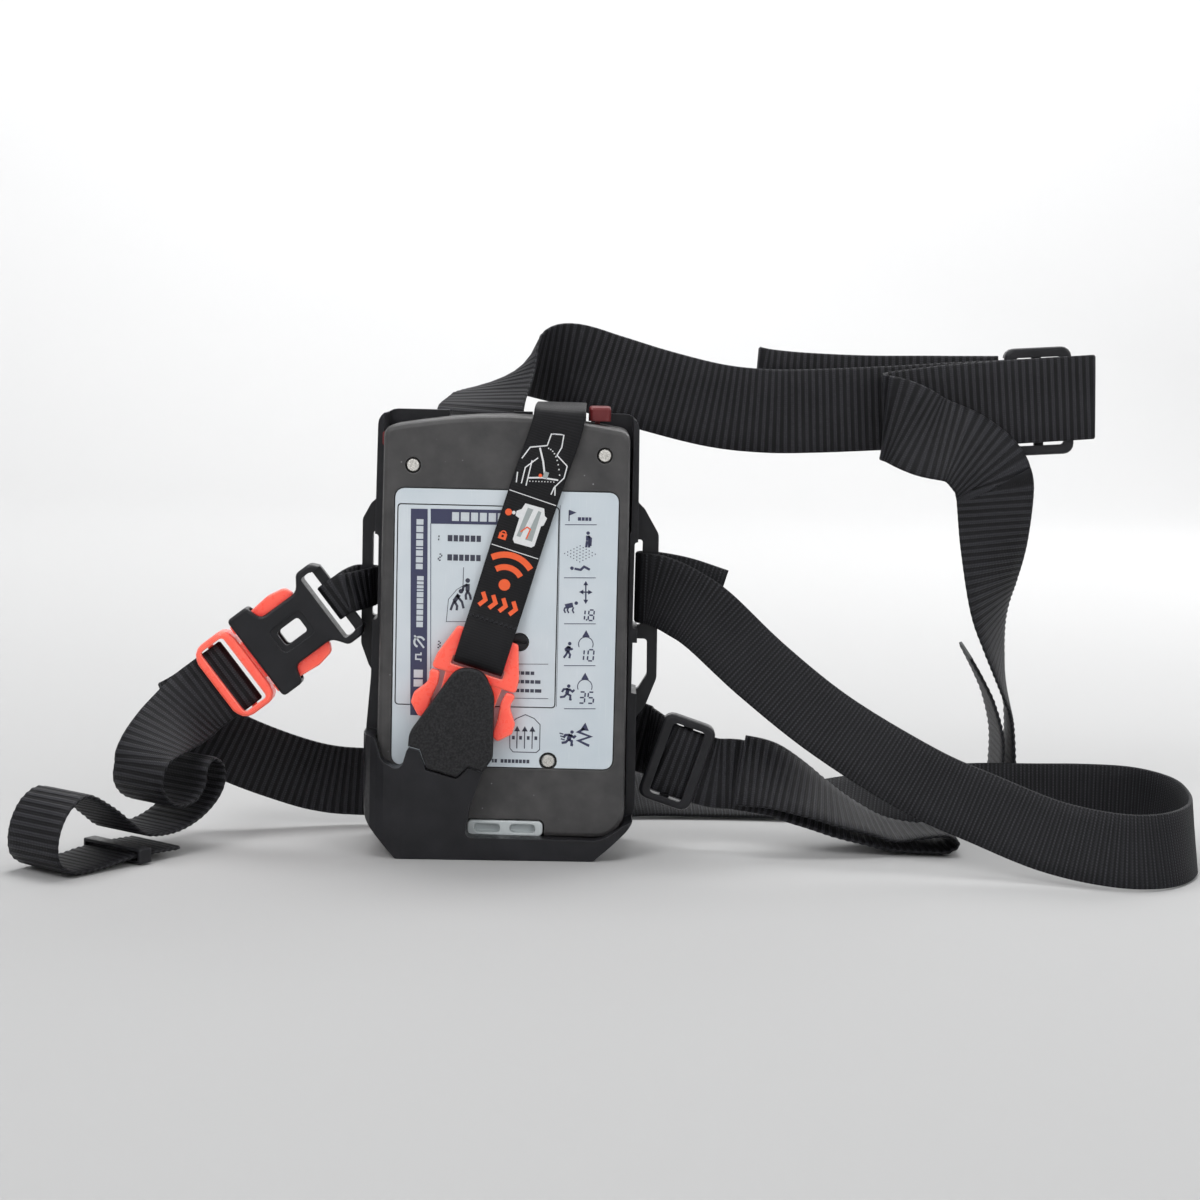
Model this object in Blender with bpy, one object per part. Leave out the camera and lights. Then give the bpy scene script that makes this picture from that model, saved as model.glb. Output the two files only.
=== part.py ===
"""Avalanche transceiver in its harness cradle, with buckles, sliders and webbing.

Metres, +Z up. The origin is the middle of the cradle's flat underside. The label side of the
transceiver faces -Y, its display faces the cradle's back plate at +Y.
"""
import math

import bmesh
import bpy
from mathutils import Matrix, Vector

# ---------------------------------------------------------------- driving dimensions
GAP = 0.0003                 # clearance between pieces that touch
CASE_LOW, CASE_HIGH = 0.0056, 0.1184      # transceiver: underside and top corners
CASE_ARCH = 0.0036           # rise of the arched top
CASE_HALF_LOW, CASE_HALF_HIGH = 0.0346, 0.0336
CASE_FRONT, CASE_BACK = -0.0140, 0.0124   # label side, display side
CASE_WALL = 0.0018
SPLIT = -0.0020              # plane where the two housings meet
DOOR = (-0.0296, 0.0148, 0.0418, 0.0975)  # battery door: x low, x high, z low, z high
LABEL = (-0.0305, 0.0312, 0.0248, 0.1020)
CELL_RADIUS, CELL_LENGTH, CELL_PITCH = 0.00525, 0.0445, 0.0110
RAIL_INNER, RAIL_OUTER = 0.0350, 0.0373   # cradle side rails
PLATE_INNER, PLATE_OUTER = 0.0136, 0.0160  # cradle back plate
RAIL_FRONT = -0.0030
SHELL_FRONT = -0.0212
WIDE, NARROW = 0.025, 0.020  # webbing widths: shoulder strap, belt and elastic
WEB = 0.0013                 # webbing thickness
WING_LOOP_WIDTH = 0.0110
RETAINER_WIDTH, RETAINER_WEB = 0.0140, 0.0009
CLIP_ORIGIN, CLIP_UP = Vector((-0.0064, -0.0164, 0.0540)), Vector((0.287, 0, 0.958)).normalized()
BUCKLE_ORIGIN, BUCKLE_OUT = Vector((-0.0482, -0.0010, 0.0688)), Vector((-0.79, 0, -0.613)).normalized()
SLIDER_ORIGIN, SLIDER_ALONG = Vector((0.0494, 0.0040, 0.0247)), Vector((0.95, 0, -0.312)).normalized()
GLIDE_ORIGIN = Vector((0.1560, 0.0500, 0.1283))
KEY_HEIGHT = 0.0420
SCREWS = ((-0.0255, 0.1080), (0.0268, 0.1118), (0.0131, 0.0270), (-0.0260, 0.0130))

for old in list(bpy.data.objects):
    bpy.data.objects.remove(old)


# ---------------------------------------------------------------- materials
def material(name, colour, roughness, metallic=0.0):
    made = bpy.data.materials.new(name)
    made.use_nodes = True
    shader = made.node_tree.nodes["Principled BSDF"]
    shader.inputs["Base Color"].default_value = (*colour, 1)
    shader.inputs["Roughness"].default_value = roughness
    shader.inputs["Metallic"].default_value = metallic
    return made


HOUSING = material("housing_plastic", (0.060, 0.058, 0.055), 0.55)
CRADLE = material("cradle_plastic", (0.012, 0.012, 0.014), 0.38)
TONGUE = material("tongue_rubber", (0.010, 0.010, 0.011), 0.65)
LABEL_FILM = material("label_film", (0.62, 0.68, 0.72), 0.45)
RED = material("red_plastic", (0.95, 0.085, 0.045), 0.32)
DARK_RED = material("dark_red_plastic", (0.14, 0.010, 0.012), 0.4)
WEBBING = material("webbing", (0.012, 0.012, 0.014), 0.8)
ELASTIC = material("elastic", (0.014, 0.014, 0.016), 0.85)
STEEL = material("screw_steel", (0.72, 0.70, 0.67), 0.28, 1.0)
EYELET = material("eyelet_plastic", (0.56, 0.60, 0.61), 0.5)
RUBBER = material("seal_rubber", (0.02, 0.02, 0.02), 0.8)
CELL = material("cell_jacket", (0.55, 0.42, 0.12), 0.35, 0.6)
BOARD = material("circuit_board", (0.02, 0.12, 0.05), 0.5)
COPPER = material("copper_winding", (0.62, 0.28, 0.12), 0.35, 1.0)
FERRITE = material("ferrite", (0.05, 0.05, 0.055), 0.5)
DISPLAY = material("display_glass", (0.30, 0.34, 0.30), 0.1)
WINDOW = material("display_window", (0.10, 0.11, 0.12), 0.08)


# ---------------------------------------------------------------- modelling helpers
def finish(name, bm, finish_material, sharp_degrees=35):
    """Turn a bmesh into a named object, smooth shaded except along its sharp edges."""
    bmesh.ops.recalc_face_normals(bm, faces=bm.faces)
    mesh = bpy.data.meshes.new(name)
    bm.to_mesh(mesh)
    bm.free()
    mesh.materials.append(finish_material)
    mesh.shade_smooth()
    mesh.set_sharp_from_angle(angle=math.radians(sharp_degrees))
    made = bpy.data.objects.new(name, mesh)
    bpy.context.collection.objects.link(made)
    return made


def rounded(corners, steps=5):
    """A closed outline through (a, b, radius) corners, each rounded by its radius."""
    outline = []
    for i, (a, b, radius) in enumerate(corners):
        here = Vector((a, b))
        before = (Vector(corners[i - 1][:2]) - here).normalized()
        after = (Vector(corners[(i + 1) % len(corners)][:2]) - here).normalized()
        if radius == 0:
            outline.append(here)
            continue
        half = before.angle(after) / 2
        centre = here + (before + after).normalized() * radius / math.sin(half)
        start = here + before * radius / math.tan(half) - centre
        end = here + after * radius / math.tan(half) - centre
        sweep = start.angle_signed(end)
        for step in range(steps + 1):
            turned = Matrix.Rotation(-sweep * step / steps, 2) @ start
            outline.append(centre + turned)
    return outline


def rectangle(low_a, high_a, low_b, high_b, radius=0.0, steps=4):
    corners = ((low_a, low_b), (high_a, low_b), (high_a, high_b), (low_a, high_b))
    return rounded([(a, b, radius) for a, b in corners], steps)


def ring(radius, a=0.0, b=0.0, sides=16):
    turns = [2 * math.pi * i / sides for i in range(sides)]
    return [Vector((a + radius * math.cos(t), b + radius * math.sin(t))) for t in turns]


def prism(outline, low, high, along="y", frame=None, rim=0.0, rims="low", segments=2):
    """Extrude an outline from low to high. Along y the outline is (x, z), along z it is (x, y),
    along x it is (y, z). A rim softens the edges of the low face, the high face or both."""
    place = {"y": lambda a, b, c: (a, c, b), "z": lambda a, b, c: (a, b, c),
             "x": lambda a, b, c: (c, a, b)}[along]
    bm = bmesh.new()
    first = [bm.verts.new(place(p[0], p[1], low)) for p in outline]
    last = [bm.verts.new(place(p[0], p[1], high)) for p in outline]
    caps = {"low": bm.faces.new(first), "high": bm.faces.new(reversed(last))}
    for i in range(len(first)):
        j = (i + 1) % len(first)
        bm.faces.new((first[j], first[i], last[i], last[j]))
    bmesh.ops.recalc_face_normals(bm, faces=bm.faces)
    if rim:
        edges = {e for side in ("low", "high") if rims in (side, "both") for e in caps[side].edges}
        bmesh.ops.bevel(bm, geom=list(edges), offset=rim, segments=segments, profile=0.5, affect="EDGES")
    if frame:
        bmesh.ops.transform(bm, matrix=frame, verts=bm.verts)
    return bm


def shape(target, tools, operation="DIFFERENCE"):
    """Cut solids from the target, or join them to it."""
    helpers = []
    for tool in tools:
        helper = finish("tool", tool, RUBBER)
        helpers.append(helper)
        change = target.modifiers.new("shape", "BOOLEAN")
        change.operation = operation
        change.solver = "EXACT"
        change.object = helper
    bpy.context.view_layer.update()
    graph = bpy.context.evaluated_depsgraph_get()
    mesh = bpy.data.meshes.new_from_object(target.evaluated_get(graph))
    target.modifiers.clear()
    target.data = mesh
    mesh.name = target.name
    for helper in helpers:
        bpy.data.objects.remove(helper)
    return target


def basis(origin, along, across):
    """A frame whose X runs along a strap, whose Z runs across it, and whose Y faces away."""
    x = along.normalized()
    z = (across - x * across.dot(x)).normalized()
    y = z.cross(x)
    frame = Matrix((x, y, z)).transposed().to_4x4()
    frame.translation = origin
    return frame


def pivot(made, point):
    """Move an object's origin onto its joint's axis, leaving its shape where it is."""
    made.data.transform(Matrix.Translation(-Vector(point)))
    made.location = point


# ---------------------------------------------------------------- webbing
def smooth_route(stations, spacing, closed=False):
    """Centres, directions and edge vectors along a Catmull-Rom curve through the stations."""
    count = len(stations)
    centres = [Vector(s[:3]) for s in stations]
    edges = [Vector(s[3:]).normalized() for s in stations]

    def pick(values, i):
        if closed:
            return values[i % count]
        if i < 0:
            return values[0] * 2 - values[1]
        if i >= count:
            return values[-1] * 2 - values[-2]
        return values[i]

    samples = []
    for i in range(count if closed else count - 1):
        p = [pick(centres, i + k) for k in (-1, 0, 1, 2)]
        q = [pick(edges, i + k) for k in (-1, 0, 1, 2)]
        steps = max(1, round((p[2] - p[1]).length / spacing))
        for step in range(steps):
            t = step / steps
            weights = (-t + 2 * t ** 2 - t ** 3, 2 - 5 * t ** 2 + 3 * t ** 3,
                       t + 4 * t ** 2 - 3 * t ** 3, t ** 3 - t ** 2)
            samples.append((sum((v * w / 2 for v, w in zip(p, weights)), Vector()),
                            sum((v * w / 2 for v, w in zip(q, weights)), Vector())))
    if not closed:
        samples.append((centres[-1], edges[-1]))
    route = []
    for i, (centre, edge) in enumerate(samples):
        last = len(samples) - 1
        ahead = samples[(i + 1) % len(samples)][0] if closed else samples[min(i + 1, last)][0]
        behind = samples[i - 1][0] if closed else samples[max(i - 1, 0)][0]
        along = (ahead - behind).normalized()
        edge = (edge - along * edge.dot(along)).normalized()
        route.append((centre, along, edge))
    return route


def strap(name, stations, width, thickness, finish_material, spacing=0.004, closed=False):
    """A flat strap: a rectangular section carried along its route."""
    bm = bmesh.new()
    sections = []
    for centre, along, edge in smooth_route(stations, spacing, closed):
        normal = along.cross(edge)
        corners = [centre + edge * (a * width / 2) + normal * (b * thickness / 2)
                   for a, b in ((-1, -1), (1, -1), (1, 1), (-1, 1))]
        sections.append([bm.verts.new(c) for c in corners])
    pairs = list(zip(sections, sections[1:] + sections[:1]))
    for one, two in pairs if closed else pairs[:-1]:
        for wide in ((one[0], one[1], two[1]), (one[0], two[1], two[0]),
                     (one[2], one[3], two[2]), (one[3], two[3], two[2])):
            bm.faces.new(wide)
        for k, m in ((1, 2), (3, 0)):
            bm.faces.new((one[k], one[m], two[m], two[k]))
    if not closed:
        bm.faces.new(sections[0])
        bm.faces.new(reversed(sections[-1]))
    return finish(name, bm, finish_material, 50)


# Stations are x, y, z of the middle of the strap, then the direction across it.
ELASTIC_ROUTE = (
    (0.0600, 0.0118, 0.0692, 0.30, 0, 0.95), (0.0500, 0.0126, 0.0722, 0.20, 0, 0.98),
    (0.0420, 0.0123, 0.0736, 0, 0, 1), (0.0382, 0.0119, 0.0738, 0, 0, 1),
    (0.0369, 0.0102, 0.0738, 0, 0, 1), (0.0369, 0.0070, 0.0738, 0, 0, 1),
    (0.0382, 0.0050, 0.0738, 0, 0, 1), (0.0412, 0.0044, 0.0736, 0, 0, 1),
    (0.0450, 0.0040, 0.0724, 0.20, 0, 0.98), (0.0500, 0.0034, 0.0700, 0.30, 0.10, 0.95),
    (0.0574, 0.0020, 0.0653, 0.30, 0.25, 0.92), (0.0726, -0.0020, 0.0520, 0.55, 0.34, 0.76),
    (0.0919, -0.0080, 0.0378, 0.57, 0.36, 0.74), (0.1160, -0.0160, 0.0245, 0.50, 0.26, 0.82),
    (0.1331, -0.0220, 0.0180, 0.38, 0.28, 0.88), (0.1504, -0.0290, 0.0124, 0.24, 0.32, 0.91),
    (0.1668, -0.0355, 0.0104, 0.12, 0.32, 0.94), (0.1810, -0.0320, 0.0100, 0, 0.30, 0.95),
    (0.1915, -0.0170, 0.0102, -0.10, 0.15, 0.97), (0.1945, 0.0050, 0.0106, 0, 0, 1),
    (0.1925, 0.0220, 0.0108, 0.10, 0, 0.99), (0.1855, 0.0340, 0.0110, 0, 0, 1),
    (0.1720, 0.0372, 0.0110, 0, 0, 1), (0.1560, 0.0372, 0.0106, 0, 0.10, 0.99),
    (0.1400, 0.0390, 0.0101, 0, 0.35, 0.93), (0.1200, 0.0440, 0.0086, 0, 0.68, 0.73),
    (0.1000, 0.0500, 0.0063, 0, 0.88, 0.47), (0.0800, 0.0530, 0.0036, 0, 0.97, 0.24),
    (0.0600, 0.0530, 0.0036, 0, 0.97, 0.24), (0.0400, 0.0500, 0.0064, 0, 0.86, 0.50),
    (0.0200, 0.0420, 0.0099, 0, 0.50, 0.86), (0.0000, 0.0350, 0.0118, 0, 0.10, 0.99),
    (-0.0200, 0.0310, 0.0124, 0, 0, 1))
BELT_ROUTE = (
    (0.0050, 0.0318, 0.0122, 0, 0.10, 0.99), (-0.0180, 0.0286, 0.0124, 0, 0, 1),
    (-0.0417, 0.0252, 0.0126, 0, 0, 1), (-0.0533, 0.0220, 0.0140, 0.10, 0, 0.99),
    (-0.0642, 0.0185, 0.0175, 0.30, 0, 0.95), (-0.0769, 0.0160, 0.0226, 0.30, 0.05, 0.94),
    (-0.0880, 0.0160, 0.0280, 0.10, 0.10, 0.98), (-0.0934, 0.0148, 0.0306, -0.10, 0.20, 0.97),
    (-0.0958, 0.0112, 0.0326, -0.25, 0.20, 0.94),
    (-0.0945, 0.0066, 0.0340, -0.42, 0.12, 0.90), (-0.0918, 0.0038, 0.0356, -0.56, 0.05, 0.83),
    (-0.0896, 0.0028, 0.0368, -0.613, 0, 0.79))
WRAP_ROUTE = (
    (-0.0877, 0.0022, 0.0382, -0.613, 0, 0.79), (-0.0822, 0.0017, 0.0424, -0.613, 0, 0.79),
    (-0.0774, 0.0016, 0.0461, -0.613, 0, 0.79), (-0.0755, 0.0014, 0.0476, -0.613, 0, 0.79),
    (-0.0746, 0.0001, 0.0483, -0.613, 0, 0.79), (-0.0755, -0.0012, 0.0476, -0.613, 0, 0.79),
    (-0.0774, -0.0014, 0.0461, -0.613, 0, 0.79), (-0.0820, -0.0014, 0.0426, -0.613, 0, 0.79),
    (-0.0858, -0.0030, 0.0396, -0.66, 0.10, 0.74), (-0.0892, -0.0070, 0.0362, -0.72, 0.25, 0.64),
    (-0.0930, -0.0130, 0.0325, -0.78, 0.42, 0.46), (-0.0960, -0.0182, 0.0291, -0.80, 0.54, 0.24))
TAIL_ROUTE = (
    (-0.0963, -0.0187, 0.0286, -0.80, 0.54, 0.23), (-0.0980, -0.0219, 0.0250, -0.80, 0.60, 0.06),
    (-0.0986, -0.0227, 0.0200, -0.80, 0.60, 0), (-0.0971, -0.0207, 0.0158, -0.80, 0.60, 0),
    (-0.0942, -0.0169, 0.0137, -0.80, 0.60, 0), (-0.0911, -0.0128, 0.0147, -0.80, 0.60, 0),
    (-0.0892, -0.0102, 0.0185, -0.80, 0.60, 0), (-0.0887, -0.0096, 0.0228, -0.80, 0.60, 0),
    (-0.0871, -0.0075, 0.0252, -0.80, 0.60, 0), (-0.0851, -0.0048, 0.0230, -0.80, 0.60, 0),
    (-0.0847, -0.0043, 0.0190, -0.80, 0.60, 0), (-0.0860, -0.0060, 0.0146, -0.80, 0.60, 0),
    (-0.0891, -0.0101, 0.0105, -0.80, 0.60, 0), (-0.0931, -0.0154, 0.0078, -0.80, 0.60, 0),
    (-0.0975, -0.0212, 0.0069, -0.80, 0.60, 0), (-0.1020, -0.0273, 0.0080, -0.80, 0.60, 0),
    (-0.1052, -0.0315, 0.0117, -0.80, 0.60, 0), (-0.1092, -0.0368, 0.0167, -0.80, 0.60, 0),
    (-0.1139, -0.0430, 0.0208, -0.80, 0.60, 0), (-0.1173, -0.0476, 0.0189, -0.80, 0.60, 0),
    (-0.1195, -0.0505, 0.0141, -0.80, 0.60, 0), (-0.1203, -0.0516, 0.0087, -0.80, 0.60, 0),
    (-0.1197, -0.0508, 0.0042, -0.80, 0.60, 0), (-0.1171, -0.0473, 0.0014, -0.80, 0.60, 0),
    (-0.1137, -0.0428, 0.0010, -0.80, 0.60, 0), (-0.1098, -0.0376, 0.0014, -0.80, 0.60, 0),
    (-0.1060, -0.0326, 0.0021, -0.80, 0.60, 0), (-0.1020, -0.0273, 0.0024, -0.80, 0.60, 0),
    (-0.0985, -0.0226, 0.0024, -0.80, 0.60, 0), (-0.0948, -0.0177, 0.0022, -0.80, 0.60, 0))
WING_LOOP_ROUTE = (
    (-0.0380, 0.0040, 0.0724, -0.05, 0, 1), (-0.0394, 0.0012, 0.0722, -0.15, 0, 0.99),
    (-0.0416, -0.0014, 0.0718, -0.35, 0, 0.94), (-0.0436, -0.0028, 0.0714, -0.52, 0, 0.85),
    (-0.0454, -0.0031, 0.0709, -0.613, 0, 0.79),
    (-0.0480, -0.0031, 0.0690, -0.613, 0, 0.79), (-0.0490, -0.0022, 0.0682, -0.613, 0, 0.79),
    (-0.0490, 0.0002, 0.0682, -0.613, 0, 0.79), (-0.0480, 0.0011, 0.0690, -0.613, 0, 0.79),
    (-0.0461, 0.0012, 0.0704, -0.613, 0, 0.79), (-0.0450, 0.0024, 0.0712, -0.55, 0, 0.83),
    (-0.0445, 0.0052, 0.0718, -0.30, 0, 0.95), (-0.0440, 0.0080, 0.0722, -0.10, 0, 0.99),
    (-0.0430, 0.0104, 0.0725, 0, 0, 1), (-0.0410, 0.0114, 0.0725, 0, 0, 1),
    (-0.0384, 0.0112, 0.0725, 0, 0, 1), (-0.0371, 0.0100, 0.0725, 0, 0, 1),
    (-0.0371, 0.0070, 0.0725, 0, 0, 1))
SHOULDER_ROUTE = (
    (-0.0095, 0.0178, 0.1020, 1, 0, 0), (-0.0095, 0.0184, 0.1140, 1, 0, 0),
    (-0.0092, 0.0220, 0.1225, 1, 0, 0.10), (-0.0070, 0.0300, 0.1272, 0.97, 0, 0.25),
    (-0.0020, 0.0390, 0.1320, 0.85, -0.30, 0.45), (0.0060, 0.0460, 0.1358, 0.50, -0.35, 0.80),
    (0.0160, 0.0500, 0.1358, 0.30, -0.15, 0.95), (0.0280, 0.0505, 0.1325, 0.22, 0, 0.97),
    (0.0430, 0.0500, 0.1283, 0.18, 0, 0.98), (0.0600, 0.0500, 0.1246, 0.06, 0, 1),
    (0.0750, 0.0500, 0.1234, 0, 0, 1), (0.0900, 0.0500, 0.1238, -0.03, 0, 1),
    (0.1115, 0.0500, 0.1252, -0.03, 0, 1), (0.1300, 0.0500, 0.1267, -0.04, 0, 1),
    (0.1450, 0.0500, 0.1278, -0.04, 0, 1), (0.1600, 0.0500, 0.1289, -0.04, 0, 1),
    (0.1690, 0.0500, 0.1296, -0.04, 0, 1), (0.1718, 0.0480, 0.1300, -0.04, 0, 1),
    (0.1690, 0.0459, 0.1298, -0.04, 0, 1), (0.1500, 0.0455, 0.1282, -0.04, 0, 1),
    (0.1300, 0.0458, 0.1262, -0.04, 0, 1), (0.1150, 0.0462, 0.1240, -0.03, 0, 1),
    (0.1110, 0.0453, 0.1233, -0.06, 0, 1), (0.1096, 0.0430, 0.1228, 0, 0, 1),
    (0.1108, 0.0404, 0.1222, 0, 0, 1), (0.1146, 0.0390, 0.1210, 0.12, 0.05, 1),
    (0.1218, 0.0374, 0.1176, 0.22, 0.25, 0.94), (0.1312, 0.0366, 0.1148, 0.52, 0.42, 0.74),
    (0.1372, 0.0368, 0.1105, 0.78, 0.34, 0.52), (0.1408, 0.0376, 0.1062, 0.93, 0.26, 0.28),
    (0.1419, 0.0381, 0.1034, 0.95, 0.27, 0.16),
    (0.1425, 0.0386, 0.1005, 0.96, 0.28, 0.06), (0.1430, 0.0396, 0.0870, 0.88, 0.47, 0),
    (0.1434, 0.0412, 0.0730, 0.70, 0.71, 0), (0.1450, 0.0448, 0.0605, 0.46, 0.89, 0),
    (0.1490, 0.0500, 0.0450, 0.22, 0.97, 0), (0.1513, 0.0526, 0.0360, 0.10, 0.99, 0),
    (0.1524, 0.0532, 0.0260, 0.06, 1, 0), (0.1524, 0.0534, 0.0130, 0, 1, 0),
    (0.1516, 0.0534, 0.0050, 0, 1, 0), (0.1501, 0.0534, 0.0030, 0, 1, 0),
    (0.1486, 0.0534, 0.0050, 0, 1, 0), (0.1486, 0.0534, 0.0150, 0, 1, 0),
    (0.1484, 0.0532, 0.0268, 0, 1, 0), (0.1456, 0.0528, 0.0372, 0.02, 1, 0),
    (0.1422, 0.0522, 0.0444, 0.04, 1, 0), (0.1376, 0.0516, 0.0524, 0.06, 1, 0))
SLACK_ROUTE = (
    (0.1420, 0.0545, 0.1288, -0.04, 0, 1), (0.1250, 0.0548, 0.1286, -0.03, 0, 1),
    (0.1050, 0.0552, 0.1282, -0.02, 0, 1), (0.0860, 0.0554, 0.1286, 0, 0, 1),
    (0.0750, 0.0556, 0.1294, 0.05, 0, 1), (0.0724, 0.0580, 0.1300, 0.05, 0, 1),
    (0.0752, 0.0604, 0.1294, 0.05, 0, 1), (0.0880, 0.0600, 0.1282, 0, 0, 1),
    (0.1080, 0.0590, 0.1280, -0.02, 0, 1), (0.1280, 0.0578, 0.1286, -0.03, 0, 1),
    (0.1450, 0.0572, 0.1290, -0.04, 0, 1))
SIDE_ROUTE = (
    (0.0140, 0.0176, 0.0330, 0.20, 0, 0.98), (0.0290, 0.0180, 0.0312, 0.25, 0, 0.97),
    (0.0398, 0.0172, 0.0288, 0.10, 0, 0.99), (0.0420, 0.0130, 0.0282, 0.10, 0, 0.99),
    (0.0432, 0.0078, 0.0275, 0.25, 0, 0.97), (0.0452, 0.0046, 0.0263, 0.312, 0, 0.95),
    (0.0472, 0.0040, 0.0254, 0.312, 0, 0.95), (0.0540, 0.0040, 0.0232, 0.312, 0, 0.95),
    (0.0600, 0.0040, 0.0216, 0.25, 0, 0.97), (0.0670, 0.0042, 0.0212, 0.10, 0.20, 0.97),
    (0.0755, 0.0048, 0.0190, 0, 0.50, 0.86), (0.0849, 0.0056, 0.0142, -0.10, 0.72, 0.69),
    (0.0940, 0.0066, 0.0092, -0.18, 0.86, 0.48), (0.1026, 0.0076, 0.0052, -0.18, 0.95, 0.25),
    (0.1102, 0.0084, 0.0024, -0.08, 0.99, 0.08), (0.1200, 0.0088, 0.0012, 0, 1, 0),
    (0.1265, 0.0090, 0.0012, 0, 1, 0), (0.1296, 0.0092, 0.0034, 0, 1, 0),
    (0.1268, 0.0090, 0.0058, 0, 1, 0), (0.1200, 0.0086, 0.0054, 0, 1, 0),
    (0.1110, 0.0078, 0.0058, -0.08, 0.98, 0.15), (0.1030, 0.0064, 0.0090, -0.18, 0.93, 0.30),
    (0.0944, 0.0044, 0.0130, -0.18, 0.84, 0.50), (0.0852, 0.0026, 0.0178, -0.10, 0.70, 0.70),
    (0.0758, 0.0012, 0.0218, 0, 0.48, 0.87), (0.0672, 0.0008, 0.0232, 0.10, 0.18, 0.98))
RETAINER_ROUTE = (
    (0.0142, 0.0178, 0.1040, 1, 0, 0), (0.0142, 0.0180, 0.1140, 1, 0, 0),
    (0.0142, 0.0172, 0.1215, 1, 0, 0), (0.0143, 0.0130, 0.1247, 1, 0, 0),
    (0.0144, 0.0040, 0.1252, 1, 0, 0), (0.0144, -0.0080, 0.1248, 1, 0, 0),
    (0.0143, -0.0140, 0.1236, 1, 0, -0.06), (0.0138, -0.0152, 0.1200, 0.98, 0, -0.2),
    (0.0120, -0.0152, 0.1140, 0.958, 0, -0.287), (0.0090, -0.0153, 0.1050, 0.958, 0, -0.287),
    (0.0040, -0.0154, 0.0890, 0.958, 0, -0.287), (-0.0010, -0.0158, 0.0720, 0.958, 0, -0.287),
    (-0.0034, -0.0172, 0.0640, 0.958, 0, -0.287), (-0.0048, -0.0180, 0.0594, 0.958, 0, -0.287),
    (-0.0062, -0.0180, 0.0546, 0.958, 0, -0.287), (-0.0067, -0.0164, 0.0530, 0.958, 0, -0.287),
    (-0.0062, -0.0149, 0.0546, 0.958, 0, -0.287), (-0.0046, -0.0149, 0.0596, 0.958, 0, -0.287))


def straps():
    strap("elastic_strap", ELASTIC_ROUTE, NARROW, WEB, ELASTIC)
    strap("belt_webbing", BELT_ROUTE, NARROW, WEB, WEBBING, 0.0025)
    strap("belt_bar_wrap", WRAP_ROUTE, NARROW, WEB, WEBBING, 0.002)
    strap("belt_tail", TAIL_ROUTE, NARROW, WEB, WEBBING, 0.0025)
    strap("wing_loop", WING_LOOP_ROUTE, WING_LOOP_WIDTH, WEB - 0.0002, WEBBING, 0.0015, closed=True)
    strap("shoulder_strap", SHOULDER_ROUTE, WIDE, WEB, WEBBING, 0.003)
    strap("shoulder_slack", SLACK_ROUTE, WIDE, WEB, WEBBING)
    strap("side_strap", SIDE_ROUTE, NARROW, WEB, WEBBING)
    strap("retainer_strap", RETAINER_ROUTE, RETAINER_WIDTH, RETAINER_WEB, WEBBING, 0.003)


# ---------------------------------------------------------------- transceiver
def case_outline(inset=0.0):
    """The case seen from the front: tapered sides, arched top, round lower corners."""
    low, high = CASE_HALF_LOW - inset, CASE_HALF_HIGH - inset
    floor, shoulder = CASE_LOW + inset, CASE_HIGH - inset
    arch = [(high * (1 - k / 4) if k else high, shoulder + CASE_ARCH * math.sin(math.pi * k / 8),
             0.0030 - inset if k == 0 and inset < 0.0030 else 0) for k in range(8)]
    top = [(a, b, r) for a, b, r in arch] + [(-high, shoulder, max(0.0030 - inset, 0))]
    return rounded([(-low, floor, 0.0075 - inset), (low, floor, 0.0075 - inset)] + top)


def housings():
    rear = finish("rear_housing", prism(case_outline(), CASE_FRONT, SPLIT - GAP, rim=0.0014), HOUSING)
    hollow = prism(case_outline(CASE_WALL), CASE_FRONT + CASE_WALL, 0)
    label_recess = prism(rectangle(*LABEL, radius=0.0028), CASE_FRONT - 0.002, CASE_FRONT + 0.0008)
    opening = prism(rectangle(*DOOR, radius=0.001), CASE_FRONT - 0.002, CASE_FRONT + 0.004)
    eyelet_notch = prism(rectangle(-0.0094, 0.0124, 0.0040, 0.0104, 0.0016), -0.017, -0.0086)
    lock_notch = prism(rectangle(-0.0400, -0.0294, 0.1128, 0.1172, 0.0008), -0.0110, -0.0050)
    shape(rear, [hollow, label_recess, opening, eyelet_notch, lock_notch])
    bosses = [prism(ring(0.0030, x, z), CASE_FRONT + 0.0010, SPLIT - GAP) for x, z in SCREWS]
    shape(rear, bosses, "UNION")
    recesses = [prism(ring(0.0022, x, z), CASE_FRONT - 0.002, CASE_FRONT + 0.0014) for x, z in SCREWS]
    holes = [prism(ring(0.0011, x, z), CASE_FRONT - 0.002, 0, rim=0) for x, z in SCREWS]
    shape(rear, recesses + holes)

    front = finish("front_housing", prism(case_outline(), SPLIT + 0.0009, CASE_BACK, rim=0.0014,
                                          rims="high"), HOUSING)
    hollow = prism(case_outline(CASE_WALL), -0.004, CASE_BACK - CASE_WALL)
    window = prism(rectangle(-0.0213, 0.0213, 0.0557, 0.1043, 0.002), 0.008, 0.014)
    switch_slot = prism(rectangle(0.0234, 0.0322, 0.0022, 0.0058), 0.1156, 0.130, "z")
    keys = [prism(ring(0.0053, x, KEY_HEIGHT, 20), 0.008, 0.014) for x in (-0.0130, 0.0130)]
    shape(front, [hollow, window, switch_slot] + keys)
    shape(front, [prism(ring(0.0030, x, z), SPLIT + 0.0009, 0.0112) for x, z in SCREWS], "UNION")
    shape(front, [prism(ring(0.0011, x, z), -0.004, 0.0070) for x, z in SCREWS])

    seal = finish("housing_seal", prism(case_outline(0.0003), SPLIT, SPLIT + 0.0006), RUBBER)
    shape(seal, [prism(case_outline(CASE_WALL - 0.0002), -0.004, 0.002)])
    for number, (x, z) in enumerate(SCREWS, 1):
        housing_screw("housing_screw_%d" % number, x, z)


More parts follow.
